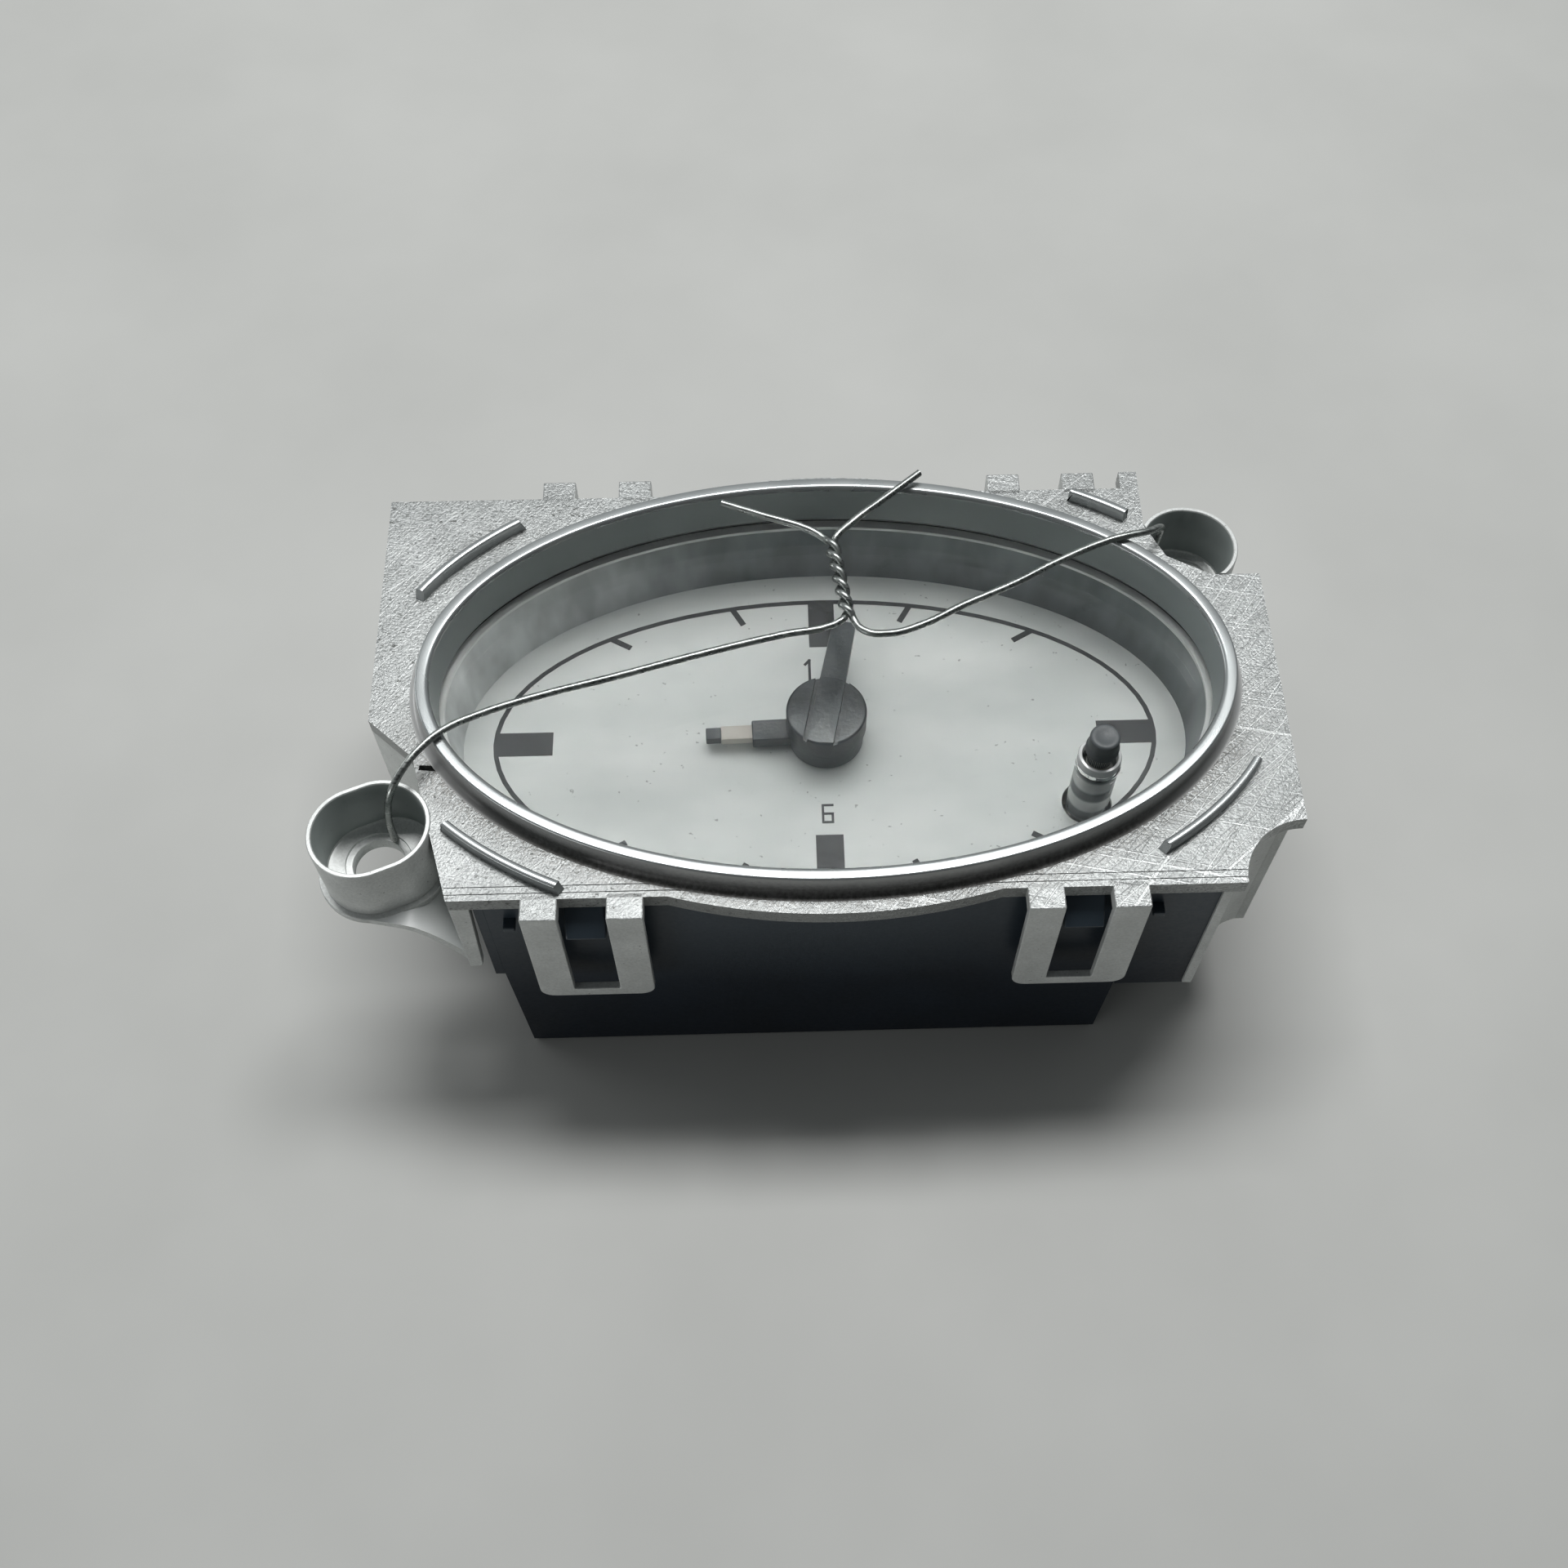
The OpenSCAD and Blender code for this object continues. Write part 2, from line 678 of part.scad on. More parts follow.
module dial_print() {
    color("#26292c") translate([0, 0, dial_top]) linear_extrude(print_t) {
        difference() {
            polygon(oval(print_a + line_w / 2, print_b + line_w / 2));
            polygon(oval(print_a - line_w / 2, print_b - line_w / 2));
        }
        for (hour = [3, 6, 9, 12]) hour_stroke(hour, block_l, block_w);
        for (hour = [1, 2, 4, 5, 7, 8, 10, 11]) hour_stroke(hour, tick_l, tick_w);
        translate(top_digits_at) digits([1, 2], top_digits_h, top_digits_w);
        translate(low_digit_at) digits([6], low_digit_h, low_digit_w);
    }
}

module minute_hand() {
    color("#2b2e31") rotate(-minute_turn) difference() {
        union() {
            rod(centre_at, cap_r, cap_z, cap_top);
            prism([[-minute_w / 2, 0], [minute_w / 2, 0], [minute_tip_w / 2, minute_l],
                   [-minute_tip_w / 2, minute_l]], cap_top - minute_t, cap_top);
        }
        rod(centre_at, cannon_r, cap_z - 1, cap_top - 0.8);
        for (s = [-1, 1])
            box(s * (minute_w / 2 + groove_w / 2) - groove_w / 2, s * (minute_w / 2 + groove_w / 2) + groove_w / 2,
                -cap_r, cap_r, cap_top - groove_h, cap_top + 1);
    }
}

module hour_hand() {
    color("#26292c") rotate(-hour_turn) difference() {
        union() {
            rod(centre_at, hour_disc_r, hour_disc_z, hour_disc_z + hour_disc_h);
            box(-hour_block_w / 2, hour_block_w / 2, 0, hour_block_l,
                hour_disc_z + 0.5, hour_disc_z + hour_disc_h - 0.2);
        }
        rod(centre_at, hour_tube_r, hour_disc_z - 1, hour_disc_z + hour_disc_h + 1);
        box(-pointer_w / 2, pointer_w / 2, hour_block_l - pointer_in, hour_block_l + 1,
            hour_disc_z + 0.9, hour_disc_z + 0.9 + pointer_t);
    }
}

module hour_pointer() {
    color("#e6e8e6") rotate(-hour_turn)
        translate([0, 0, hour_disc_z + 0.9]) linear_extrude(pointer_t)
        polygon([[-pointer_w / 2, hour_block_l - pointer_in], [pointer_w / 2, hour_block_l - pointer_in],
                 [pointer_w / 2, hour_l - tip_l], [pointer_w * 0.42, hour_l - tip_l],
                 [pointer_w * 0.42, hour_l], [-pointer_w * 0.42, hour_l],
                 [-pointer_w * 0.42, hour_l - tip_l], [-pointer_w / 2, hour_l - tip_l]]);
}

module cannon_pinion() {
    color("#c9a86a") difference() {
        union() {
            rod(centre_at, cannon_r, motion_z - 0.3, cap_top - 0.8);
            gear(centre_at, cannon_teeth, motion_m, motion_z - 0.2, motion_z + wheel_t + 0.2,
                 dir_minute, cannon_r - 0.2);
        }
        rod(centre_at, arbor_r + run_gap, motion_z - 1, cap_top);
    }
}

module hour_wheel() {
    color("#e9e6da") {
        difference() {
            union() {
                gear(centre_at, hour_teeth, hour_m, hour_wheel_z, hour_wheel_z + wheel_t,
                     dir_minute + 180 / hour_teeth, cannon_r + run_gap);
                rod(centre_at, hour_tube_r, hour_wheel_z, hour_disc_z + hour_disc_h);
            }
            rod(centre_at, cannon_r + run_gap, hour_wheel_z - 1, cap_z);
        }
    }
}

module minute_wheel() {
    color("#e9e6da") {
        gear(minute_at, minute_teeth, motion_m, motion_z, motion_z + wheel_t,
             dir_minute + 180 + 180 / minute_teeth);
        gear(minute_at, minute_pinion, hour_m, motion_z + wheel_t, hour_wheel_z + wheel_t + 0.2,
             dir_minute + 180);
        rod(minute_at, pivot_r, top_z - 0.2, motion_z);
        rod(minute_at, pivot_r * 2, top_top + 0.1, motion_z);
    }
}

module setting_wheel() {
    color("#e9e6da") {
        gear(setting_at, setting_teeth, motion_m, motion_z, motion_z + wheel_t + knob_travel,
             setting_phase());
        rod(setting_at, pivot_r, top_z - 0.2, motion_z);
        rod(setting_at, pivot_r * 2, top_top + 0.1, motion_z);
    }
}

// The setting wheel has a gap where a tooth of the minute wheel points at it
function minute_phase() = dir_minute + 180 + 180 / minute_teeth;
function near_tooth(phase, teeth, d) = phase + round((d - phase) * teeth / 360) * 360 / teeth;
function setting_phase() =
    let (d = aim(minute_at, setting_at), t = near_tooth(minute_phase(), minute_teeth, d),
         off = (t - d) * minute_teeth / setting_teeth)
    d + 180 + 180 / setting_teeth - off;
function stem_phase() =
    let (d = aim(setting_at, knob_at), t = near_tooth(setting_phase(), setting_teeth, d),
         off = (t - d) * setting_teeth / stem_teeth)
    d + 180 + 180 / stem_teeth - off;

module set_knob() {
    color("#4a4e50") difference() {
        union() {
            rod(knob_at, knob_r, knob_skirt_z, knob_top);
            rod(knob_at, knob_skirt_r, knob_skirt_z, knob_skirt_z + knob_skirt_h);
        }
        rod(knob_at, stem_r - 0.4, knob_skirt_z - 1, knob_top - 1);
    }
}

module set_stem() {
    color("#e4e6e2") {
        rod(knob_at, stem_r - 0.4, knob_skirt_z - hair, knob_top - 1);
        rod(knob_at, stem_r, stem_pinion_z + stem_pinion_t, knob_skirt_z);
        gear(knob_at, stem_teeth, motion_m, stem_pinion_z, stem_pinion_z + stem_pinion_t, stem_phase());
        rod(knob_at, stem_low_r, cup_top + cup_gap, stem_pinion_z);
    }
}

module spring_cup() {
    color("#d8d8d0") {
        rod(knob_at, cup_r, cup_top - cup_t, cup_top);
        rod(knob_at, spring_r - spring_wire - 0.2, cup_top - cup_t - 2, cup_top - cup_t);
    }
}

module set_spring() {
    turns = 5;
    sides = 6;
    n = turns * 8;
    z0 = base_top + spring_wire / 2;
    z1 = cup_top - cup_t - spring_wire / 2;
    r = spring_r - spring_wire / 2;
    path = [for (i = [0:n]) [knob_at[0] + r * cos(45 * i), knob_at[1] + r * sin(45 * i),
                             z0 + (z1 - z0) * i / n]];
    color("#9a9c9e") tube(path, spring_wire / 2, sides);
}

// A round tube swept along a list of points
module tube(path, r, sides) {
    n = len(path);
    dirs = [for (i = [0:n - 1])
        let (d = path[min(i + 1, n - 1)] - path[max(i - 1, 0)]) d / norm(d)];
    ups = tube_ups(dirs, n);
    points = [for (i = [0:n - 1], s = [0:sides - 1])
        let (u = ups[i], v = cross(dirs[i], u), t = 360 * s / sides)
        path[i] + r * (u * cos(t) + v * sin(t))];
    sides_faces = [for (i = [0:n - 2], s = [0:sides - 1], k = [0:1])
        let (s2 = (s + 1) % sides, p = i * sides + s, q = i * sides + s2,
             u = (i + 1) * sides + s2, v = (i + 1) * sides + s)
        k == 0 ? [p, v, u] : [p, u, q]];
    caps = concat(
        [for (s = [1:sides - 2]) [0, s, s + 1]],
        [for (s = [1:sides - 2]) [(n - 1) * sides, (n - 1) * sides + s + 1, (n - 1) * sides + s]]);
    polyhedron(points, concat(sides_faces, caps));
}

// Sideways directions that turn as little as they can along the path
function unit(v) = v / norm(v);
function tube_ups(dirs, n) =
    let (first = abs(dirs[0][2]) < 0.9 ? [0, 0, 1] : [1, 0, 0],
         start = unit(first - dirs[0] * (first * dirs[0])))
    [for (i = 0, u = start; i < n; i = i + 1,
          u = i < n ? unit(u - dirs[i] * (u * dirs[i])) : u) u];

module top_plate() {
    color("#d9d9d2") difference() {
        union() {
            box(-body_left + wall_t + plate_side, body_right - wall_t - plate_side,
                -plate_near, plate_far, top_z, top_top);
            for (p = plate_posts) rod(p, post_plate_r, base_top, top_z);
        }
        for (p = plate_posts) rod(p, screw_r, base_top - 1, top_top + 1);
        rod(centre_at, arbor_r + run_gap, top_z - 1, top_top + 1);
        for (p = [third_at, first_at, rotor_at, minute_at, setting_at])
            rod(p, pivot_r + run_gap, top_z - 1, top_top + 1);
        rod(knob_at, stem_low_r + run_gap, top_z - 1, top_top + 1);
        rod(lamp_at, lamp_hole_r, top_z - 1, top_top + 1);
    }
}

module base_plate() {
    color("#d9d9d2") difference() {
        union() {
            box(-body_left + wall_t + plate_side, body_right - wall_t - plate_side,
                -plate_near, plate_far + 1.5, base_z, base_top);
            for (p = plate_posts) rod(p, post_plate_r, board_z + board_t, base_z);
            for (s = [-1, 1], y = stator_post_y)
                rod([rotor_at[0] + s * (arm_x - arm_w / 2), y], stator_post_r, base_top - hair, stator_z);
        }
        for (p = plate_posts) rod(p, screw_r, board_z, base_top + 1);
        rod(centre_at, arbor_r + run_gap, base_z - 1, base_top + 1);
        for (p = [third_at, first_at, rotor_at])
            rod(p, pivot_r + run_gap, base_z - 1, base_top + 1);
    }
}

module plate_screws() {
    color("#c4c7c9") for (p = plate_posts) {
        rod(p, screw_r - screw_gap, board_z + board_t, top_top + hair);
        difference() {
            rod(p, screw_head_r, top_top, top_top + screw_head_h);
            for (t = [0, 90]) translate([p[0], p[1], top_top + screw_head_h]) rotate(t)
                cube([screw_head_r * 1.1, 0.4, 1], center = true);
        }
    }
}

module centre_wheel() {
    color("#c9a86a") {
        gear(centre_at, centre_teeth, drive_m, centre_z, centre_z + wheel_t, dir_third);
        rod(centre_at, arbor_r, base_z, cap_top - 1.2);
        rod(centre_at, arbor_r * 2, base_top + 0.1, centre_z);
    }
}

module third_wheel() {
    color("#e9e6da") {
        gear(third_at, third_teeth, drive_m, third_z, third_z + wheel_t, dir_first + 180 / third_teeth);
        gear(third_at, third_pinion, drive_m, centre_z - 0.3, third_z, dir_third + 180 + 180 / third_pinion);
        rod(third_at, pivot_r, base_z, top_top - 0.2);
        rod(third_at, pivot_r * 2, base_top + 0.1, centre_z);
    }
}

module first_wheel() {
    color("#e9e6da") {
        gear(first_at, first_teeth, drive_m, first_z, first_z + wheel_t, dir_rotor);
        gear(first_at, first_pinion, drive_m, third_z - 0.3, first_z, dir_first + 180);
        rod(first_at, pivot_r, base_z, top_top - 0.2);
        rod(first_at, pivot_r * 2, base_top + 0.1, third_z);
    }
}

module rotor() {
    color("#3c6f9a") {
        gear(rotor_at, rotor_teeth, drive_m, rotor_pinion_z, rotor_pinion_z + 1.4,
             dir_rotor + 180 + 180 / rotor_teeth);
        rod(rotor_at, pivot_r, base_z, top_top - 0.2);
        rod(rotor_at, rotor_hub_r, base_top + 0.1, rotor_pinion_z);
    }
}

module rotor_magnet() {
    color("#3a3a3c") difference() {
        rod(rotor_at, magnet_r, stator_z - 0.5, stator_z + stator_t + 0.5);
        rod(rotor_at, rotor_hub_r, stator_z - 1, stator_z + stator_t + 1);
    }
}

module stator() {
    color("#a7aaac") translate([rotor_at[0], 0, stator_z]) linear_extrude(stator_t) difference() {
        union() {
            translate([-arm_x, rotor_at[1] - yoke_w / 2]) square([2 * arm_x, yoke_w]);
            for (s = [-1, 1]) translate([s > 0 ? arm_x - arm_w : -arm_x, rotor_at[1]])
                square([arm_w, coil_y - rotor_at[1] + 2]);
            translate([-arm_x, coil_y - core_w / 2]) square([2 * arm_x, core_w]);
        }
        translate([0, rotor_at[1]]) circle(r = magnet_r + 0.5);
    }
}

module coil_bobbin() {
    color("#e8e4d8") translate([rotor_at[0], coil_y, stator_z + stator_t / 2]) difference() {
        union() {
            translate([-coil_l / 2, 0, 0]) rotate([0, 90, 0]) cylinder(r = core_r, h = coil_l);
            for (s = [-1, 1]) translate([s * (coil_l + cheek_t) / 2, 0, 0])
                cube([cheek_t, cheek, cheek], center = true);
        }
        cube([coil_l * 2, core_w + 0.1, stator_t + 0.1], center = true);
    }
}

module coil_winding() {
    color("#a8552f") translate([rotor_at[0] - coil_l / 2, coil_y, stator_z + stator_t / 2])
        rotate([0, 90, 0]) difference() {
            cylinder(r = coil_r, h = coil_l);
            translate([0, 0, -1]) cylinder(r = core_r, h = coil_l + 2);
        }
}

module circuit_board() {
    color("#2f6b46") difference() {
        box(-body_left + wall_t + board_side, body_right - wall_t - board_side,
            -body_y + wall_t + board_near, body_y - wall_t - board_near, board_z, board_z + board_t);
        for (p = board_posts) rod(p, screw_r + 0.1, board_z - 1, board_z + board_t + 1);
    }
}

module quartz_crystal() {
    color("#c8cbcd") translate([crystal_at[0], crystal_at[1], base_top + crystal_r]) rotate([0, 90, 0]) {
        translate([0, 0, crystal_neck]) cylinder(r = crystal_r, h = crystal_l);
        cylinder(r = crystal_r * 0.75, h = crystal_neck + hair);
    }
}

module driver_chip() {
    color("#2a2a2c") translate([chip_at[0], chip_at[1], base_top]) cube(chip_size);
}

module capacitors() {
    color("#2d4f7a") for (p = cap_at) difference() {
        rod(p, cap_size_r, base_top, base_top + cap_size_h);
        rod(p, cap_size_r - 0.6, base_top + cap_size_h - 0.3, base_top + cap_size_h + 1);
    }
}

module lamp_holder() {
    color("#3a3d40") difference() {
        rod(lamp_at, lamp_base_r, base_top, base_top + lamp_base_h);
        rod(lamp_at, lamp_r + run_gap, base_top + 0.6, base_top + lamp_base_h + 1);
    }
}

module lamp() {
    color("#e8d9a0", 0.6) {
        rod(lamp_at, lamp_r, base_top + 0.6, base_top + 0.6 + lamp_h);
        translate([lamp_at[0], lamp_at[1], base_top + 0.6 + lamp_h]) sphere(r = lamp_r);
    }
}

module terminal_pins() {
    color("#c9a86a") for (i = [-1, 0, 1])
        translate([socket_at[0] + pin_pitch * i - pin_w / 2, socket_at[1] + pin_y - pin_w / 2, pin_z])
            cube([pin_w, pin_w, board_z - pin_z]);
}

// The bulge in a long side, which dies out downwards
module housing_bulge() {
    r = bulge_r();
    translate([0, body_y + bulge_out - r, 0]) intersection() {
        translate([0, 0, bulge_low])
            cylinder(r1 = r - bulge_out - 0.2, r2 = r, h = flange_bot - bulge_low);
        box(-bulge_x - 1, bulge_x + 1, r - bulge_out - 1, r + 1, bulge_low, flange_bot);
    }
}

module housing_lugs() {
    x0 = loop_x - lug_w / 2;
    out = flange_y + loop_out - lug_in;
    for (sx = [-1, 1], sy = [-1, 1])
        mirror([sx < 0 ? 1 : 0, 0, 0]) mirror([0, sy < 0 ? 1 : 0, 0]) {
            translate([x0, 0, 0]) rotate([90, 0, 90]) linear_extrude(lug_w)
                polygon([[body_y - 1, flange_bot - 0.2], [body_y + 0.2, flange_bot - 0.2],
                         [out, flange_bot - lug_h + lug_tip], [out, flange_bot - lug_h],
                         [body_y - 1, flange_bot - lug_h - 1.2]]);
            box(loop_x + loop_w / 2 + side_gap, loop_x + loop_w / 2 + side_gap + side_block, body_y - 1,
                body_y + side_block, flange_bot - side_block_h, flange_bot - side_drop);
        }
}

module rear_housing() {
    color("#2a2f3a") {
        difference() {
            union() {
                box(-body_left, body_right, -body_y, body_y, 0, flange_bot);
                housing_bulge();
                mirror([0, 1, 0]) housing_bulge();
                prism(oval(pocket_a + housing_oval, pocket_b + 0.3), shoulder_left, flange_bot);
                box(-block_left, -body_left + 1, -body_y, body_y, shoulder_left, flange_bot);
                box(body_right - 1, block_right, -body_y, block_right_far, shoulder_right, flange_bot);
                box(body_right - 1, block_right_near, -body_y, body_y, shoulder_right, flange_bot);
            }
            prism(oval(pocket_a, pocket_b), cavity_top, flange_bot + 1);
            box(-body_left + wall_t, body_right - wall_t, -body_y + wall_t, body_y - wall_t,
                floor_t, cavity_top + hair);
            box(body_right, block_right - wall_t, -body_y + wall_t, block_right_far - wall_t,
                shoulder_right - 1, shoulder_left - 1);
            rod(knob_at, knob_pocket_r, top_top + 0.2, cavity_top + hair);
            slot_solid(ear_right, ear_r + 0.2, ear_base - 0.3, flange_bot + 1);
            box(socket_at[0] - socket_w / 2, socket_at[0] + socket_w / 2,
                socket_at[1] - socket_d / 2, socket_at[1] + socket_d / 2, -1, floor_t + 1);
        }
        for (p = board_posts) difference() {
            rod(p, post_r, floor_t - hair, board_z);
            rod(p, screw_r * 0.8, floor_t, board_z + 1);
        }
        housing_lugs();
    }
}

// Route of each strand, from the crest's height: out of its ear, over the ring to the knot
wire_left_route = [
    [-51.9, -16.1, -11], [-51.9, -16.1, -9.5], [-51.7, -15.9, -6], [-51.1, -15.3, -3], [-50.2, -14.4, -1.2],
    [-48.9, -12.7, 0], [-47.2, -10.6, 0.5], [-44.8, -8.4, 0.7], [-41, -6.4, 0.7], [-34.8, -4.1, 0.6],
    [-25.2, -1.4, 0.6], [-15, 1.6, 0.6], [-5, 4.2, 0.6], [0.8, 5.4, 0.6]];
wire_right_route = [[42.4, 20.9, -11], [42.4, 20.9, -9], [42.5, 20.9, -6], [42.7, 20.9, -3], [42.7, 20.6, -1.4],
    [42.1, 19.9, -0.3], [40.6, 18.9, 0.3], [38, 18.1, 0.6], [35.2, 17.3, 0.6], [29, 14.4, 0.6], [22.8, 10.9, 0.6],
    [16.7, 8, 0.6], [11.5, 5.2, 0.6], [7.2, 4, 0.6], [4.4, 4.6, 0.6]];
twist_start = [2.7, 6.4, 0.7];
twist_end = [1, 18.2, 0.7];
twist_turns = 3;
twist_r = 0.5;
tail_left = [[-1.5, 19.7, 0.8], [-12.4, 24.1, 0.9]];
tail_right = [[3.4, 20.4, 0.9], [12.5, 28.2, 1.1]];

function twist(side) =
    let (d = unit(twist_end - twist_start), v = [0, 0, 1], u = cross(d, v), n = twist_turns * 6)
    [for (i = [0:n]) let (t = 360 * i * twist_turns / n + (side > 0 ? 0 : 180))
        twist_start + (twist_end - twist_start) * i / n + twist_r * (u * cos(t) + v * sin(t))];

module tie_wire_left() {
    color("#8a8e8c") translate([0, 0, crest_h]) tube(concat(wire_left_route, twist(-1), tail_left), wire_d / 2, 6);
}

module tie_wire_right() {
    color("#8a8e8c") translate([0, 0, crest_h]) tube(concat(wire_right_route, twist(1), tail_right), wire_d / 2, 6);
}

front_bezel();
lens();
inner_surround();
dial();
dial_print();
minute_hand();
hour_hand();
hour_pointer();
cannon_pinion();
hour_wheel();
minute_wheel();
setting_wheel();
set_knob();
set_stem();
spring_cup();
set_spring();
top_plate();
base_plate();
plate_screws();
centre_wheel();
third_wheel();
first_wheel();
rotor();
rotor_magnet();
stator();
coil_bobbin();
coil_winding();
circuit_board();
quartz_crystal();
driver_chip();
capacitors();
lamp_holder();
lamp();
terminal_pins();
rear_housing();
tie_wire_left();
tie_wire_right();
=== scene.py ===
import bpy
import bmesh
import json
import math
from mathutils import Matrix, Vector

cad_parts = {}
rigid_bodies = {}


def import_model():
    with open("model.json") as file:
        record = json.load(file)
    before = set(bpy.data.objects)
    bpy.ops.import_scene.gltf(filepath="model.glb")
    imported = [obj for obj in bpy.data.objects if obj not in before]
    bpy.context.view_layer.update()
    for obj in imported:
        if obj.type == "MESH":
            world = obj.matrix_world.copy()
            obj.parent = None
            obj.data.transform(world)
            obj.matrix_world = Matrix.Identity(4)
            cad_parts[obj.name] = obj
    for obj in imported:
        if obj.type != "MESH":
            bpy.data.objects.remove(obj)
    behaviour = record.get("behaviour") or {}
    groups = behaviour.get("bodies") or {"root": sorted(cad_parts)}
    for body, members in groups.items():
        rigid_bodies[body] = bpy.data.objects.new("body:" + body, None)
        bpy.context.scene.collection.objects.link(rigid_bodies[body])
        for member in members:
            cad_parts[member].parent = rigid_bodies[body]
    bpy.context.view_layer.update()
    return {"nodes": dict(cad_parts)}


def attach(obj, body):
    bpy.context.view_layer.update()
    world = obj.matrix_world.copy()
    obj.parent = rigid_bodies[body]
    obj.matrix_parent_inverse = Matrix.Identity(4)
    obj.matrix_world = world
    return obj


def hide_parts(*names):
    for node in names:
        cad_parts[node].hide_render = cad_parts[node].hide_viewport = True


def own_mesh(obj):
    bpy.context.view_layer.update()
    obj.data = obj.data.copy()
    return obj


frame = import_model()

# Sizes in millimetres, as the CAD has them. Pieces are made in millimetres and scaled once.
MM = 0.001
# The ring's oval at its crest, the flange under it and the arc in the middle of the flange's long edges
CREST = 45.2
RIM_A, RIM_B = 48.0, 27.8
FLANGE_TOP, FLANGE_BOT = 42.1, 39.9
FLANGE_X, FLANGE_Y = 54.6, 28.6
BULGE_HALF, BULGE_OUT = 18.9, 2.65
NOTCH_R = 8.0
# Glass, dial and the wall between them
LENS_TOP, LENS_BOT = 39.2, 37.6
DIAL_TOP = 28.3
SEAT_A, SEAT_B = 47.6, 27.4
# Snap loops: half their spacing, half their width, how deep, how far out and how thick they are
LOOP_X, LOOP_HALF, LOOP_TALL, LOOP_OUT, LOOP_THICK = 28.5, 6.9, 20.7, 2.7, 1.0
WINDOW_HALF, LOOP_BAR = 2.75, 1.8
# Screw ears: the two ends of each cup's slot, then the middle of its hole
EAR_R, EAR_WALL = 6.0, 0.6
EAR_TOP, EAR_BASE, EAR_FLOOR, EAR_HOLE = 42.3, 32.7, 34.1, 3.1
EAR_LEFT = ((-54.15, -19.5), (-52.05, -18.65), (-53.6, -19.1))
EAR_RIGHT = ((45.9, 19.2), (46.4, 19.1), (46.6, 19.4))
EAR_GAP = 0.2
# Walls that hang from the flange
SKIRT_LEFT, SKIRT_RIGHT, WALL = 24.7, 14.5, 1.2
# Setting knob, the sleeve round its stem and the stem's spring
KNOB = (32.1, -10.2)
KNOB_FOOT, KNOB_TOP = 39.4, 44.4
SLEEVE_R, SLEEVE_BORE, STEM_BORE = 2.6, 2.1, 1.6
SPRING_BOTTOM, SPRING_TOP, SPRING_R, SPRING_WIRE_R, SPRING_TURNS = 8.33, 18.06, 1.75, 0.25, 5
# Hands: the cap with the minute hand, the hour disc, and where both point in degrees clockwise from 12
CAP_BOTTOM, CAP_TOP, CAP_R = 31.5, 34.9, 5.0
MINUTE_LONG, MINUTE_HALF_WIDTHS = 13.6, (1.7, 1.45)
HOUR_BOTTOM, HOUR_TOP, HOUR_R, HOUR_BORE = 28.7, 31.3, 4.7, 2.3
MINUTE_TURN, HOUR_TURN = 11.5, 268.0
# Case: its ends, the undersides of its two shoulders and the floor under the dial
BODY_LEFT, BODY_RIGHT, BODY_Y, BODY_WALL = 40.0, 36.0, 28.2, 1.5
SHOULDER_LEFT, SHOULDER_RIGHT, CAVITY = 21.4, 13.9, 27.5
# How far out the left shoulder goes, and the right one on its near and far side, with where it steps
LEFT_SHOULDER_X, RIGHT_SHOULDER = 41.2, (45.2, 40.0, 13.0)
# The height at which the long sides begin to bulge, the stem's recess, the lugs and the ring's collar
BULGE_LOW = 15.4
STEM_RECESS, STEM_RECESS_R = 19.9, 3.9
LUG_WIDE = 4.6
COLLAR = (49.2, 27.9)
# Tie wire
WIRE_R = 0.45


# Camera, solved from the photograph's ovals, loops and upright edges. The focal length and the middle
# of the view are in the photograph's pixels, and the offsets are from the middle of the ring's crest.
PHOTO_WIDTH, FOCAL_PIXELS, VIEW_MIDDLE = 1920, 2123.49, (996.21, 1015.33)
ELEVATION, AZIMUTH, ROLL = math.radians(61.03), math.radians(-2.44), math.radians(0.82)
CAMERA_RIGHT, CAMERA_UP, CAMERA_BACK = -1.67, -19.43, 205.64


def aim_camera():
    back = Vector((math.sin(AZIMUTH) * math.cos(ELEVATION), -math.cos(AZIMUTH) * math.cos(ELEVATION),
                   math.sin(ELEVATION)))
    level = (-back).cross(Vector((0, 0, 1))).normalized()
    upright_axis = level.cross(-back)
    right = math.cos(ROLL) * level + math.sin(ROLL) * upright_axis
    up = -math.sin(ROLL) * level + math.cos(ROLL) * upright_axis
    place = CAMERA_RIGHT * right + CAMERA_UP * up + CAMERA_BACK * back + Vector((0, 0, CREST))
    lens = bpy.data.cameras.new("photo_camera")
    lens.sensor_width = 36.0
    lens.lens = FOCAL_PIXELS / PHOTO_WIDTH * lens.sensor_width
    lens.shift_x = (PHOTO_WIDTH / 2 - VIEW_MIDDLE[0]) / PHOTO_WIDTH
    lens.shift_y = (VIEW_MIDDLE[1] - PHOTO_WIDTH / 2) / PHOTO_WIDTH
    lens.clip_start = 0.01
    camera = bpy.data.objects.new("photo_camera", lens)
    camera.matrix_world = Matrix.Translation(place * MM) @ Matrix((right, up, back)).transposed().to_4x4()
    bpy.context.scene.collection.objects.link(camera)
    bpy.context.scene.camera = camera


aim_camera()


# Colour and nodes
def linear(hex_colour):
    """sRGB hex to the linear colour that shaders read."""
    parts = [int(hex_colour[i:i + 2], 16) / 255 for i in (1, 3, 5)]
    return tuple(c / 12.92 if c <= 0.04045 else ((c + 0.055) / 1.055) ** 2.4 for c in parts) + (1.0,)


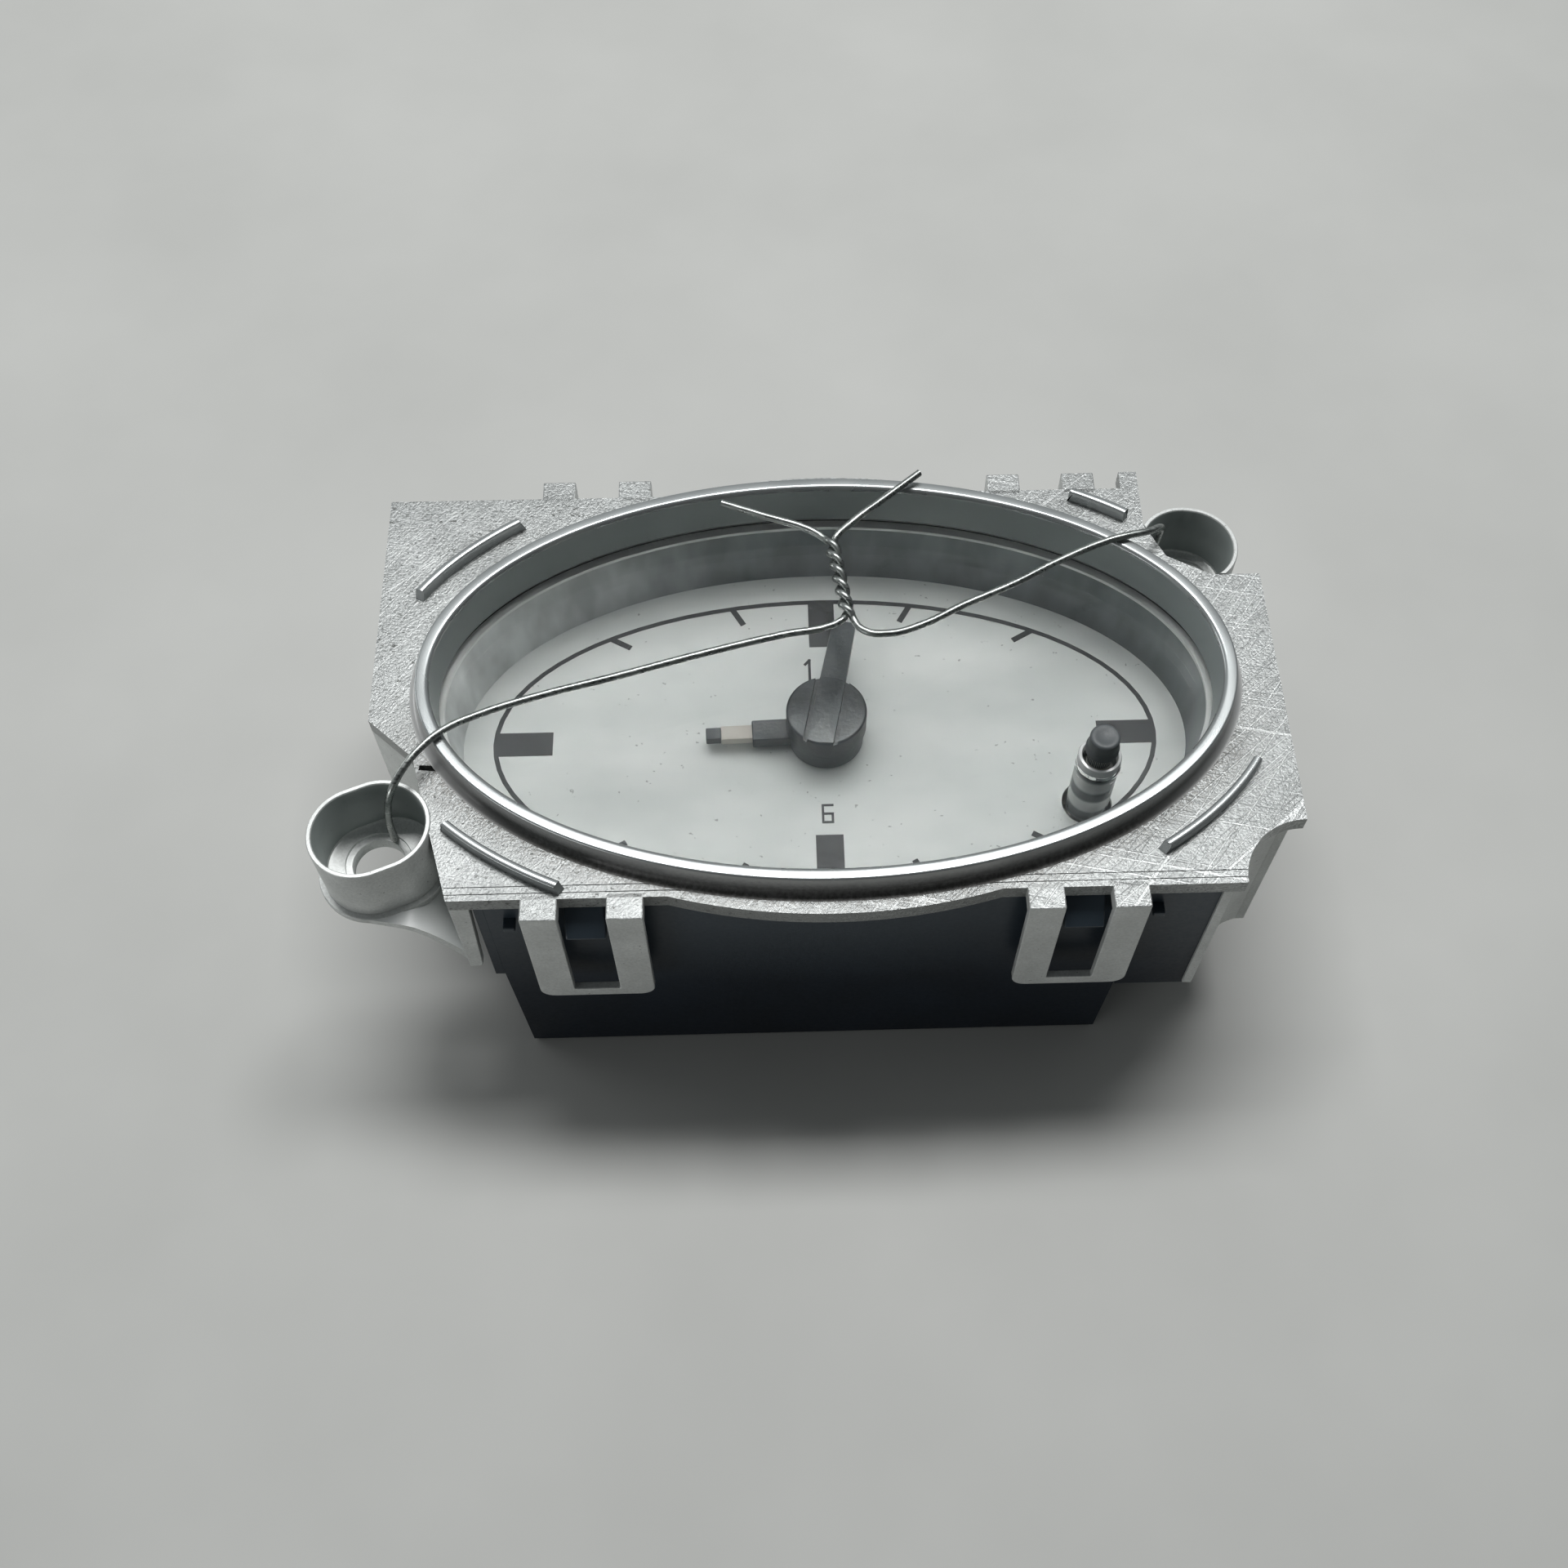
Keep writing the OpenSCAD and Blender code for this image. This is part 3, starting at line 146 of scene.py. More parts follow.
def add(tree, kind, inputs=(), out=0, **settings):
    """Adds one node with its settings and links, and gives one of its outputs. An input is a value, a hex
    colour or the output that it is linked from. A tuple takes the sockets in order, a dict names them."""
    node = tree.nodes.new("ShaderNode" + kind)
    for name, value in settings.items():
        setattr(node, name, value)
    for socket, value in inputs.items() if isinstance(inputs, dict) else enumerate(inputs):
        if isinstance(value, bpy.types.NodeSocket):
            tree.links.new(value, node.inputs[socket])
        else:
            node.inputs[socket].default_value = linear(value) if isinstance(value, str) else value
    return node.outputs[out]


# A Mix node set to colours has its factor at 0, its two colours at 6 and 7 and its result at 2
COLOURS = {"out": 2, "data_type": "RGBA"}


def start_material(name, colour, **values):
    """A material with its constant values on the shader, its tree and its object coordinates in metres."""
    material = bpy.data.materials.new(name)
    material.use_nodes = True
    tree = material.node_tree
    sockets = tree.nodes["Principled BSDF"].inputs
    sockets["Base Color"].default_value = linear(colour)
    for socket, value in values.items():
        sockets[socket.replace("_", " ")].default_value = value
    return material, tree, add(tree, "TexCoord", out="Object")


def drive(tree, **sources):
    """Links outputs to the shader's sockets."""
    sockets = tree.nodes["Principled BSDF"].inputs
    for socket, source in sources.items():
        tree.links.new(source, sockets[socket.replace("_", " ")])


def specks(vector, size_mm, detail=3.0):
    """The inputs of a noise whose specks are about size_mm across."""
    return {"Vector": vector, "Scale": 1.0 / (size_mm * MM), "Detail": detail, "Roughness": 0.55}


def relief(height, depth_mm, strength):
    """The inputs of a bump whose relief is depth_mm deep."""
    return {"Height": height, "Distance": depth_mm * MM, "Strength": strength}


def scratches(tree, where, angle, spacing_mm, length_mm):
    """Long thin streaks along one direction: noise drawn out along it."""
    turned = add(tree, "Mapping", {"Vector": where, "Rotation": (0, 0, math.radians(angle))})
    fine = 1.0 / (spacing_mm * MM)
    drawn = add(tree, "Mapping", {"Vector": turned, "Scale": (1.0 / (length_mm * MM), fine, fine)})
    return add(tree, "TexNoise", {"Vector": drawn, "Scale": 1.0, "Detail": 0.0})


def shaded(tree, tone, factor, low):
    """A tone times a grey that runs from low to white with the factor."""
    grey = add(tree, "Mix", {0: factor, 6: low, 7: "#FFFFFF"}, **COLOURS)
    return add(tree, "Mix", {0: 1.0, 6: tone, 7: grey}, blend_type="MULTIPLY", **COLOURS)


# Materials
def silver_paint():
    """Silver paint sprayed on moulded ABS: a soft sheen over a coarse spray grain. Straight scratches
    catch the light on the right, small dark chips show on the left, and dark specks lie by the ring's foot on
    the near side.
    The spray grain is drawn at 0.3 mm, coarser than the real one, so that it shows."""
    material, tree, where = start_material("silver_paint", "#A8ABAA", Metallic=0.42, Roughness=0.38)
    x, y = (add(tree, "SeparateXYZ", (where,), axis) for axis in "XY")
    grain = add(tree, "TexNoise", specks(where, 0.3, 4.0))
    streaks = 0.0
    for angle, spacing_mm, length_mm in ((-40, 0.26, 60), (-54, 0.3, 44), (12, 0.3, 30)):
        streak = add(tree, "MapRange", (scratches(tree, where, angle, spacing_mm, length_mm), 0.63, 0.69))
        streaks = add(tree, "Math", (streaks, streak), operation="MAXIMUM")
    rightward = add(tree, "MapRange", (x, -0.01, 0.03, 0.3, 1.0))
    scored = add(tree, "Math", (streaks, rightward), operation="MULTIPLY")
    drawn = add(tree, "Mapping", {"Vector": where, "Scale": (1, 1.6, 1)})
    lifted = add(tree, "MapRange", (add(tree, "TexNoise", specks(drawn, 0.8, 2.0)), 0.65, 0.69))
    leftward = add(tree, "MapRange", (x, -0.02, 0.0, 1.0, 0.0))
    chips = add(tree, "Math", (lifted, leftward), operation="MULTIPLY")
    # How far out a point lies from the dial's centre, where the ring's crest is at 1
    on_oval = add(tree, "Mapping", {"Vector": where, "Scale": (1 / RIM_A / MM, 1 / RIM_B / MM, 0)})
    spread = add(tree, "VectorMath", (on_oval,), "Value", operation="LENGTH")
    by_ring = add(tree, "MapRange", (spread, 1.05, 1.16, 1, 0))
    nearward = add(tree, "MapRange", (y, 0.0, -0.012))
    # Dark specks by the ring's foot on the near side
    dark_specks = add(tree, "Math", (by_ring, nearward), operation="MULTIPLY")
    dark_specks = add(tree, "Math", (dark_specks, add(tree, "MapRange", (grain, 0.44, 0.56))), operation="MULTIPLY")
    cloud = add(tree, "MapRange", (add(tree, "TexNoise", specks(where, 9.0, 2.0)), 0.35, 0.7))
    tone = add(tree, "Mix", {0: cloud, 6: "#979A99", 7: "#AAADAC"}, **COLOURS)
    tone = shaded(tree, tone, add(tree, "MapRange", (grain, 0.35, 0.65)), "#C8C8C8")
    for wear, most, colour in ((scored, 0.3, "#DDE0DF"), (dark_specks, 0.75, "#4B4843"), (chips, 0.8, "#454744")):
        amount = add(tree, "MapRange", (wear, 0, 1, 0, most))
        tone = add(tree, "Mix", {0: amount, 6: tone, 7: colour}, **COLOURS)
    height = add(tree, "Math", (scored, 0.5, grain), operation="MULTIPLY_ADD")
    drive(tree, Base_Color=tone, Roughness=add(tree, "MapRange", (grain, 0.3, 0.75, 0.27, 0.40)),
          Normal=add(tree, "Bump", relief(height, 0.09, 0.85)))
    return material


def smooth_silver_paint():
    """The same paint on the loops, cups and walls: little grain, so it looks even, and a shade lighter as
    painted light.
    """
    material, tree, where = start_material("smooth_silver_paint", "#C4C7C5", Metallic=0.25, Roughness=0.36)
    grain = add(tree, "TexNoise", specks(where, 0.3))
    cloud = add(tree, "MapRange", (add(tree, "TexNoise", specks(where, 6.0, 2.0)), 0.35, 0.7))
    tone = add(tree, "Mix", {0: cloud, 6: "#C4C7C5", 7: "#D4D7D5"}, **COLOURS)
    tone = shaded(tree, tone, add(tree, "MapRange", (grain, 0.35, 0.65)), "#ECECEC")
    chips = add(tree, "MapRange", (add(tree, "TexNoise", specks(where, 0.6, 2.0)), 0.71, 0.74, 0, 0.6))
    drive(tree, Base_Color=add(tree, "Mix", {0: chips, 6: tone, 7: "#5A5C59"}, **COLOURS),
          Roughness=add(tree, "MapRange", (grain, 0.3, 0.7, 0.33, 0.42)),
          Normal=add(tree, "Bump", relief(grain, 0.025, 0.6)))
    return material


def ring_paint():
    """The same silver paint where it lies smooth on the ring and the ribs: a tighter, darker sheen."""
    material, tree, where = start_material("ring_paint", "#9EA2A2", Metallic=0.75, Roughness=0.26)
    cloud = add(tree, "TexNoise", specks(where, 9.0, 1.0))
    drive(tree, Roughness=add(tree, "MapRange", (cloud, 0.3, 0.7, 0.24, 0.3)))
    return material


def ring_wall_paint(name, foot, high, speck_mm):
    """The paint on the ring's walls with painted shade: dull and dark toward the foot of the near side,
    its edge broken up in specks, and unshaded from the crest to the far side."""
    material, tree, where = start_material(name, high, Metallic=0.2, Roughness=0.4)
    y, z = (add(tree, "SeparateXYZ", (where,), axis) for axis in "YZ")
    speck = add(tree, "TexNoise", specks(where, speck_mm, 4.0))
    height = add(tree, "Math", (speck, 1.4 * MM, z), operation="MULTIPLY_ADD")
    # Painted shade: dark toward the foot on the near side, with a speckled edge
    unshaded = add(tree, "Math", (add(tree, "MapRange", (height, (FLANGE_TOP + 0.6) * MM, (CREST + 0.1) * MM)),
                               add(tree, "MapRange", (y, -0.022, -0.008))), operation="MAXIMUM")
    drive(tree, Base_Color=add(tree, "Mix", {0: unshaded, 6: foot, 7: high}, **COLOURS),
          Roughness=add(tree, "MapRange", (unshaded, 0, 1, 0.5, 0.3)))
    return material


def housing_plastic():
    """Black ABS with a navy cast, moulded in a satin tool: soft broad reflections, and a painted
    reflection: a lighter band near the flange."""
    material, tree, where = start_material("housing_plastic", "#0A121C", Roughness=0.34,
                                           Specular_IOR_Level=0.32)
    grain = add(tree, "TexNoise", specks(where, 0.5))
    cloud = add(tree, "MapRange", (add(tree, "TexNoise", specks(where, 14.0, 2.0)), 0.3, 0.7))
    tone = add(tree, "Mix", {0: cloud, 6: "#09121C", 7: "#101B27"}, **COLOURS)
    # Painted reflection: the case is lightened toward the flange, standing in for light reflected from the
    # table
    upward = add(tree, "MapRange", (add(tree, "SeparateXYZ", (where,), "Z"), 0.018, 0.036, 0.0, 0.7))
    drive(tree, Base_Color=add(tree, "Mix", {0: upward, 6: tone, 7: "#38424A"}, **COLOURS),
          Roughness=add(tree, "MapRange", (grain, 0.3, 0.7, 0.32, 0.42)),
          Normal=add(tree, "Bump", relief(grain, 0.015, 0.5)))
    return material


def moulded_plastic(name, low, high, roughness=0.45, grain_mm=0.6, depth_mm=0.02):
    """A moulded part with a slight mottle and a fine tool grain."""
    material, tree, where = start_material(name, low, Roughness=roughness)
    grain = add(tree, "TexNoise", specks(where, grain_mm))
    cloud = add(tree, "MapRange", (add(tree, "TexNoise", specks(where, 8.0, 2.0)), 0.3, 0.7))
    drive(tree, Base_Color=add(tree, "Mix", {0: cloud, 6: low, 7: high}, **COLOURS),
          Roughness=add(tree, "MapRange", (grain, 0.3, 0.7, roughness - 0.05, roughness + 0.07)),
          Normal=add(tree, "Bump", relief(grain, depth_mm, 0.5)))
    return material


def plain_metal(name, low, high, roughness=0.32, spacing_mm=0.12):
    """A drawn or turned metal: fine lines along one direction and a dulled tone in patches."""
    material, tree, where = start_material(name, low, Metallic=1.0, Roughness=roughness)
    lines = scratches(tree, where, 12, spacing_mm, 5.0)
    cloud = add(tree, "MapRange", (add(tree, "TexNoise", specks(where, 4.0)), 0.3, 0.7))
    drive(tree, Base_Color=add(tree, "Mix", {0: cloud, 6: low, 7: high}, **COLOURS),
          Roughness=add(tree, "MapRange", (lines, 0.35, 0.65, roughness - 0.08, roughness + 0.1)),
          Normal=add(tree, "Bump", relief(lines, 0.01, 0.4)))
    return material


def surround_plastic():
    """Grey ABS under the glass: a painted highlight along its upper edge, over a wall that darkens
    downward and is painted lighter at its left end as painted light."""
    material, tree, where = start_material("surround_plastic", "#7B8284", Roughness=0.3)
    x, z = (add(tree, "SeparateXYZ", (where,), axis) for axis in "XZ")
    drawn = add(tree, "Mapping", {"Vector": where, "Scale": (1, 1, 0.4)})
    smear = add(tree, "TexNoise", specks(drawn, 4.0, 2.0))
    upward = add(tree, "MapRange", (z, (DIAL_TOP + 1) * MM, (LENS_BOT - 1) * MM))
    wall = add(tree, "Mix", {0: upward, 6: "#6A7174", 7: "#8A9295"}, **COLOURS)
    # Painted light: the wall's left end is lightened toward white
    leftward = add(tree, "MapRange", (x, -0.010, -0.042, 0, 0.95))
    wall = add(tree, "Mix", {0: leftward, 6: wall, 7: "#EEF1F1"}, **COLOURS)
    wall = shaded(tree, wall, add(tree, "MapRange", (smear, 0.35, 0.65)), "#D8D8D8")
    # Painted highlight: a thin pale band along the wall's upper edge
    edge = add(tree, "MapRange", (z, (LENS_BOT - 0.5) * MM, (LENS_BOT - 0.4) * MM))
    drive(tree, Base_Color=add(tree, "Mix", {0: edge, 6: wall, 7: "#F4F6F5"}, **COLOURS))
    return material


def clouded_acrylic():
    """The sleeve's acrylic, clouded by wear: milky, with pale and grey bands painted on it in place of the
    lit stem showing through.
    """
    material, tree, where = start_material("clouded_acrylic", "#E8ECEB", Roughness=0.12, IOR=1.49,
                                           Transmission_Weight=0.4)
    z = add(tree, "SeparateXYZ", (where,), "Z")
    # Painted light: bands up the sleeve stand in for the lit stem behind it
    phase = add(tree, "Math", (z, 1.45 / MM), operation="MULTIPLY")
    band = add(tree, "MapRange", (add(tree, "Math", (phase,), operation="SINE"), -0.5, 0.3))
    drive(tree, Base_Color=add(tree, "Mix", {0: band, 6: "#7E8587", 7: "#F4F6F5"}, **COLOURS))
    return material


def clear_acrylic():
    """Moulded clear acrylic, IOR 1.49, with faint dust on its top."""
    material, tree, where = start_material("clear_acrylic", "#FBFCFB", Roughness=0.02, IOR=1.49,
                                           Transmission_Weight=1.0)
    dust = add(tree, "TexNoise", specks(where, 0.7, 5.0))
    drive(tree, Roughness=add(tree, "MapRange", (dust, 0.62, 0.8, 0.015, 0.16)))
    return material


def dial_silver():
    """Satin silver ink screen-printed on a plastic disc: pale, even and slightly cool, with dust on it."""
    material, tree, where = start_material("dial_silver", "#EEF0EE", Roughness=0.5)
    grain = add(tree, "TexNoise", specks(where, 0.25, 2.0))
    drawn = add(tree, "Mapping", {"Vector": where, "Scale": (1, 2.2, 1)})
    smudge = add(tree, "MapRange", (add(tree, "TexNoise", specks(drawn, 22.0)), 0.35, 0.7))
    tone = add(tree, "Mix", {0: smudge, 6: "#E0E4E2", 7: "#F3F5F3"}, **COLOURS)
    drawn = add(tree, "Mapping", {"Vector": where, "Scale": (1, 1.3, 1)})
    dust = add(tree, "MapRange", (add(tree, "TexNoise", specks(drawn, 0.9, 2.0)), 0.72, 0.75, 0, 0.55))
    drive(tree, Base_Color=add(tree, "Mix", {0: dust, 6: tone, 7: "#6E7270"}, **COLOURS),
          Roughness=add(tree, "MapRange", (grain, 0.3, 0.7, 0.46, 0.56)),
          Normal=add(tree, "Bump", relief(grain, 0.004, 0.4)))
    return material


def table_top():
    """A pale painted board with faint stains."""
    material, tree, where = start_material("table_top", "#B0B1AE", Roughness=0.6)
    stain = add(tree, "MapRange", (add(tree, "TexNoise", specks(where, 60.0, 4.0)), 0.3, 0.75))
    drive(tree, Base_Color=add(tree, "Mix", {0: stain, 6: "#ABACA9", 7: "#B5B6B3"}, **COLOURS))
    return material


SILVER = silver_paint()
# A lighter copy of the flange's paint, painted light, for the loops, cups and walls
SMOOTH_SILVER = smooth_silver_paint()
RING = ring_paint()
# The ring's outer wall is painted near black at its near foot as painted shade; its inner wall is an even
# grey, a darker copy of the paint, also painted shade
RING_WALL = ring_wall_paint("ring_outside_shaded_paint", "#33322F", "#A3A4A3", 0.5)
RING_INSIDE = ring_wall_paint("ring_inside_shaded_paint", "#7E8684", "#8F9796", 1.5)
# The same paint inside the cups, darkened as painted shade, and on the web's upper side, near white as a
# painted highlight
CUP_INSIDE = moulded_plastic("shaded_silver_paint", "#7C8381", "#8F9694", 0.32, 0.3)
WEB_HIGHLIGHT_PAINT = moulded_plastic("highlight_silver_paint", "#E6E9E8", "#F2F4F3", 0.35, 0.3)
HOUSING = housing_plastic()
ACRYLIC = clear_acrylic()
CLOUDED = clouded_acrylic()
SURROUND = surround_plastic()
DIAL = dial_silver()
# Screen-printed ink: near black, flat and dull
INK = moulded_plastic("dial_ink", "#26292C", "#303336", 0.5, 0.3)
# Moulded ABS hands: black with a coarse flow grain that greys them, and a cream pointer
HAND = moulded_plastic("hand_plastic", "#22282C", "#4A5256", 0.34, 0.45, 0.09)
POINTER = moulded_plastic("pointer_plastic", "#B9B1A6", "#D6D1C9", 0.4, 0.3)
# Moulded ABS knob: dark grey, dulled by fingers
KNOB_PLASTIC = moulded_plastic("knob_plastic", "#3F4446", "#4B5052", 0.5, 0.25)
# Moulded plastics of the movement: milky acetal wheels, a matt cream frame and a blue rotor
ACETAL = moulded_plastic("white_acetal", "#DAD9D0", "#E6E5DE", 0.42)
FRAME_PLASTIC = moulded_plastic("movement_plastic", "#CFCFC8", "#DAD9D2", 0.5)
ROTOR_PLASTIC = moulded_plastic("rotor_plastic", "#2F6390", "#3C74A4", 0.35)
# Electrics: matt black epoxy, shiny blue sleeves, green varnish, dull black ferrite and warm lacquered glass
CHIP = moulded_plastic("chip_epoxy", "#202022", "#2A2A2C", 0.55)
SLEEVE_BLUE = moulded_plastic("capacitor_sleeve", "#274871", "#31558A", 0.32)
BOARD = moulded_plastic("board_mask", "#22563A", "#2C6A48", 0.3)
FERRITE = moulded_plastic("sintered_ferrite", "#2E2E30", "#3A3A3C", 0.6)
LAMP_GLASS = moulded_plastic("lamp_glass", "#E4D6A4", "#EFE3B8", 0.15)
# Metals: turned, stamped or drawn, each with the fine lines that its making leaves
BRASS = plain_metal("turned_brass", "#B79A5E", "#C9AC70", 0.3)
STEEL = plain_metal("zinc_steel", "#A9ACAE", "#BFC2C4", 0.32)
LAMINATION = plain_metal("silicon_steel", "#8D9092", "#9C9FA1", 0.4)
SPRING = plain_metal("spring_steel", "#7F8284", "#8F9294", 0.28)
COPPER = plain_metal("enamelled_copper", "#8E4526", "#A85832", 0.34, 0.2)
WIRE = plain_metal("galvanised_wire", "#858987", "#A7ABA8", 0.34, 0.25)

NODE_MATERIALS = {
    "dial": DIAL, "dial_print": INK, "cannon_pinion": BRASS, "hour_wheel": ACETAL, "minute_wheel": ACETAL,
    "setting_wheel": ACETAL, "set_stem": ACETAL, "spring_cup": ACETAL, "set_spring": SPRING,
    "top_plate": FRAME_PLASTIC, "base_plate": FRAME_PLASTIC, "plate_screws": STEEL, "centre_wheel": BRASS,
    "third_wheel": ACETAL, "first_wheel": ACETAL, "rotor": ROTOR_PLASTIC, "rotor_magnet": FERRITE,
    "stator": LAMINATION, "coil_bobbin": FRAME_PLASTIC, "coil_winding": COPPER, "circuit_board": BOARD,
    "quartz_crystal": STEEL, "driver_chip": CHIP, "capacitors": SLEEVE_BLUE, "lamp_holder": HAND,
    "lamp": LAMP_GLASS, "terminal_pins": BRASS,
}
for node, material in NODE_MATERIALS.items():
    for slot in frame["nodes"][node].material_slots:
        slot.link = "OBJECT"
        slot.material = material


# Shape helpers, all in millimetres
def face_outward(bm):
    """Turns the faces of closed forms outward."""
    bmesh.ops.recalc_face_normals(bm, faces=bm.faces)
    if bm.calc_volume(signed=True) < 0:
        bmesh.ops.reverse_faces(bm, faces=bm.faces)


def finish_piece(name, bm, body, node, material, sharp=20):
    """Turns a bmesh into a piece at the origin that rides on a body and stands for a CAD node."""
    face_outward(bm)
    bmesh.ops.scale(bm, vec=(MM, MM, MM), verts=bm.verts)
    mesh = bpy.data.meshes.new(name)
    bm.to_mesh(mesh)
    bm.free()
    mesh.shade_smooth()
    mesh.set_sharp_from_angle(angle=math.radians(sharp))
    mesh.materials.append(material)
    piece = bpy.data.objects.new(name, mesh)
    bpy.context.scene.collection.objects.link(piece)
    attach(piece, body)
    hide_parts(node)
    return piece


def plate(points, z0, z1):
    """A flat outline raised from z0 to z1."""
    bm = bmesh.new()
    face = bm.faces.new([bm.verts.new((x, y, z0)) for x, y in points])
    raised = bmesh.ops.extrude_face_region(bm, geom=[face])
    bmesh.ops.translate(bm, vec=(0, 0, z1 - z0),
                        verts=[v for v in raised["geom"] if isinstance(v, bmesh.types.BMVert)])
    bmesh.ops.recalc_face_normals(bm, faces=bm.faces)
    return bm


def block(x0, x1, y0, y1, z0, z1):
    """A square block between two corners."""
    bm = bmesh.new()
    made = bmesh.ops.create_cube(bm, size=1.0)["verts"]
    bmesh.ops.scale(bm, vec=(x1 - x0, y1 - y0, z1 - z0), verts=made)
    bmesh.ops.translate(bm, vec=((x0 + x1) / 2, (y0 + y1) / 2, (z0 + z1) / 2), verts=made)
    return bm


def soften(bm, width, angle=50, keep=None):
    """Rounds every edge that turns by more than an angle, or those that keep picks of them."""
    bmesh.ops.recalc_face_normals(bm, faces=bm.faces)
    edges = [e for e in bm.edges if len(e.link_faces) == 2 and e.calc_face_angle(0) > math.radians(angle)
             and (keep is None or keep(e))]
    bmesh.ops.bevel(bm, geom=edges, offset=width, segments=2, affect="EDGES", profile=0.5,
                    clamp_overlap=True, material=-1)


def carve(target, *cutters, how="DIFFERENCE"):
    """Cuts bmeshes out of a bmesh, or keeps what they share, and gives the result."""
    scene = bpy.context.scene.collection.objects
    base = bpy.data.objects.new("base", bpy.data.meshes.new("base"))
    bmesh.ops.recalc_face_normals(target, faces=target.faces)
    target.to_mesh(base.data)
    target.free()
    scene.link(base)
    tools = []
    for cutter in cutters:
        tool = bpy.data.objects.new("tool", bpy.data.meshes.new("tool"))
        bmesh.ops.recalc_face_normals(cutter, faces=cutter.faces)
        cutter.to_mesh(tool.data)
        cutter.free()
        scene.link(tool)
        step = base.modifiers.new("cut", "BOOLEAN")
        step.operation = how
        step.solver = "EXACT"
        step.object = tool
        tools.append(tool)
    bpy.context.view_layer.update()
    result = bmesh.new()
    result.from_object(base, bpy.context.evaluated_depsgraph_get())
    for done in [base] + tools:
        mesh = done.data
        bpy.data.objects.remove(done)
        bpy.data.meshes.remove(mesh)
    return result


def stretch_to_oval(bm):
    """Turns a form of revolution about the ring's half length into one round the ring's oval."""
    for v in bm.verts:
        v.co.y += (RIM_B - RIM_A) * math.sin(math.atan2(v.co.y, v.co.x))


def turn_about_hub(bm, degrees):
    """Turns a form clockwise about the hands' axis."""
    turn = Matrix.Rotation(math.radians(-degrees), 3, "Z")
    bmesh.ops.rotate(bm, cent=(0, 0, 0), matrix=turn, verts=bm.verts)


def lathe(profile, centre=(0, 0), steps=96, span=360.0, start=0.0, closed=True):
    """Spins an outline of (radius, height) about an upright axis. It joins its ends unless closed is off."""
    bm = bmesh.new()
    turn = Matrix.Rotation(math.radians(start), 4, "Z")
    verts = [bm.verts.new(turn @ Vector((r, 0, z))) for r, z in profile]
    edges = [bm.edges.new((verts[i], verts[i + 1])) for i in range(len(verts) - 1)]
    if closed:
        edges.append(bm.edges.new((verts[-1], verts[0])))
    geometry = verts + edges
    full = abs(span - 360) < 1e-6
    if not full and closed:
        geometry = geometry + [bm.faces.new(verts)]
    bmesh.ops.spin(bm, geom=geometry, cent=(0, 0, 0), axis=(0, 0, 1), angle=math.radians(span),
                   steps=steps, use_merge=full, use_duplicate=False)
    bmesh.ops.remove_doubles(bm, verts=bm.verts, dist=1e-5)
    bmesh.ops.translate(bm, vec=(centre[0], centre[1], 0), verts=bm.verts)
    return bm


def arc(cx, cz, rx, rz, start, end, n):
    """Points on a round corner of an outline."""
    angles = [math.radians(start + (end - start) * i / n) for i in range(n + 1)]
    return [(cx + rx * math.cos(t), cz + rz * math.sin(t)) for t in angles]


def oval_points(a, b, n=256):
    """Points round an oval of half length a and half width b."""
    return [(a * math.cos(2 * math.pi * i / n), b * math.sin(2 * math.pi * i / n)) for i in range(n)]


def bulge(side, out=BULGE_OUT, y=FLANGE_Y, n=40):
    """The shallow arc in the middle of a long edge, from +x to -x on the far side."""
    r = (BULGE_HALF * BULGE_HALF + out * out) / (2 * out)
    a = math.asin(BULGE_HALF / r)
    turns = [-a + 2 * a * i / n for i in range(n + 1)]
    return [(-side * r * math.sin(t), side * (y + out - r + r * math.cos(t))) for t in turns]


def notch_arc(inset=0.0, n=20):
    """The round notch in the near right corner, or the line that runs inset behind it."""
    r = NOTCH_R + inset
    turns = [math.pi - math.pi / 2 * i / n for i in range(n + 1)]
    return [(FLANGE_X + r * math.cos(t), -FLANGE_Y + r * math.sin(t)) for t in turns]


# The flange's left end, from its far corner round to its near one, and where its right end steps in
LEFT_RUN = [(-54.6, 28.6), (-54.5, -4.4), (-48.9, -9.6), (-46.2, -19.6), (-43.7, -28.6)]
RIGHT_STEP_Y = 14.6


def flange_outline():
    """The flange seen from above, counterclockwise from its far left corner."""
    return (LEFT_RUN + bulge(-1) + notch_arc()
            + [(54.5, RIGHT_STEP_Y), (48.5, RIGHT_STEP_Y), (43.2, 17.6), (40.9, 22.6),
               (41.0, 31.3), (38.7, 31.3), (38.7, 28.6)]
            + bulge(1))


def gather(bm, *parts):
    """Moves the parts into one bmesh, each with its normals outward."""
    for part in parts:
        mesh = bpy.data.meshes.new("part")
        face_outward(part)
        part.to_mesh(mesh)
        part.free()
        bm.from_mesh(mesh)
        bpy.data.meshes.remove(mesh)
    return bm


def upright(points, y0, y1):
    """An outline in x and z, drawn out along y."""
    bm = plate(points, 0, y1 - y0)
    for v in bm.verts:
        v.co = Vector((v.co.x, y0 + v.co.z, v.co.y))
    return bm


def loft(rows):
    """Joins loops of equal count, one above the other, and closes both ends."""
    bm = bmesh.new()
    loops = [[bm.verts.new(p) for p in row] for row in rows]
    count = len(rows[0])
    for low, high in zip(loops, loops[1:]):
        for i in range(count):
            bm.faces.new((low[i], low[(i + 1) % count], high[(i + 1) % count], high[i]))
    bm.faces.new(loops[0])
    bm.faces.new(loops[-1])
    return bm


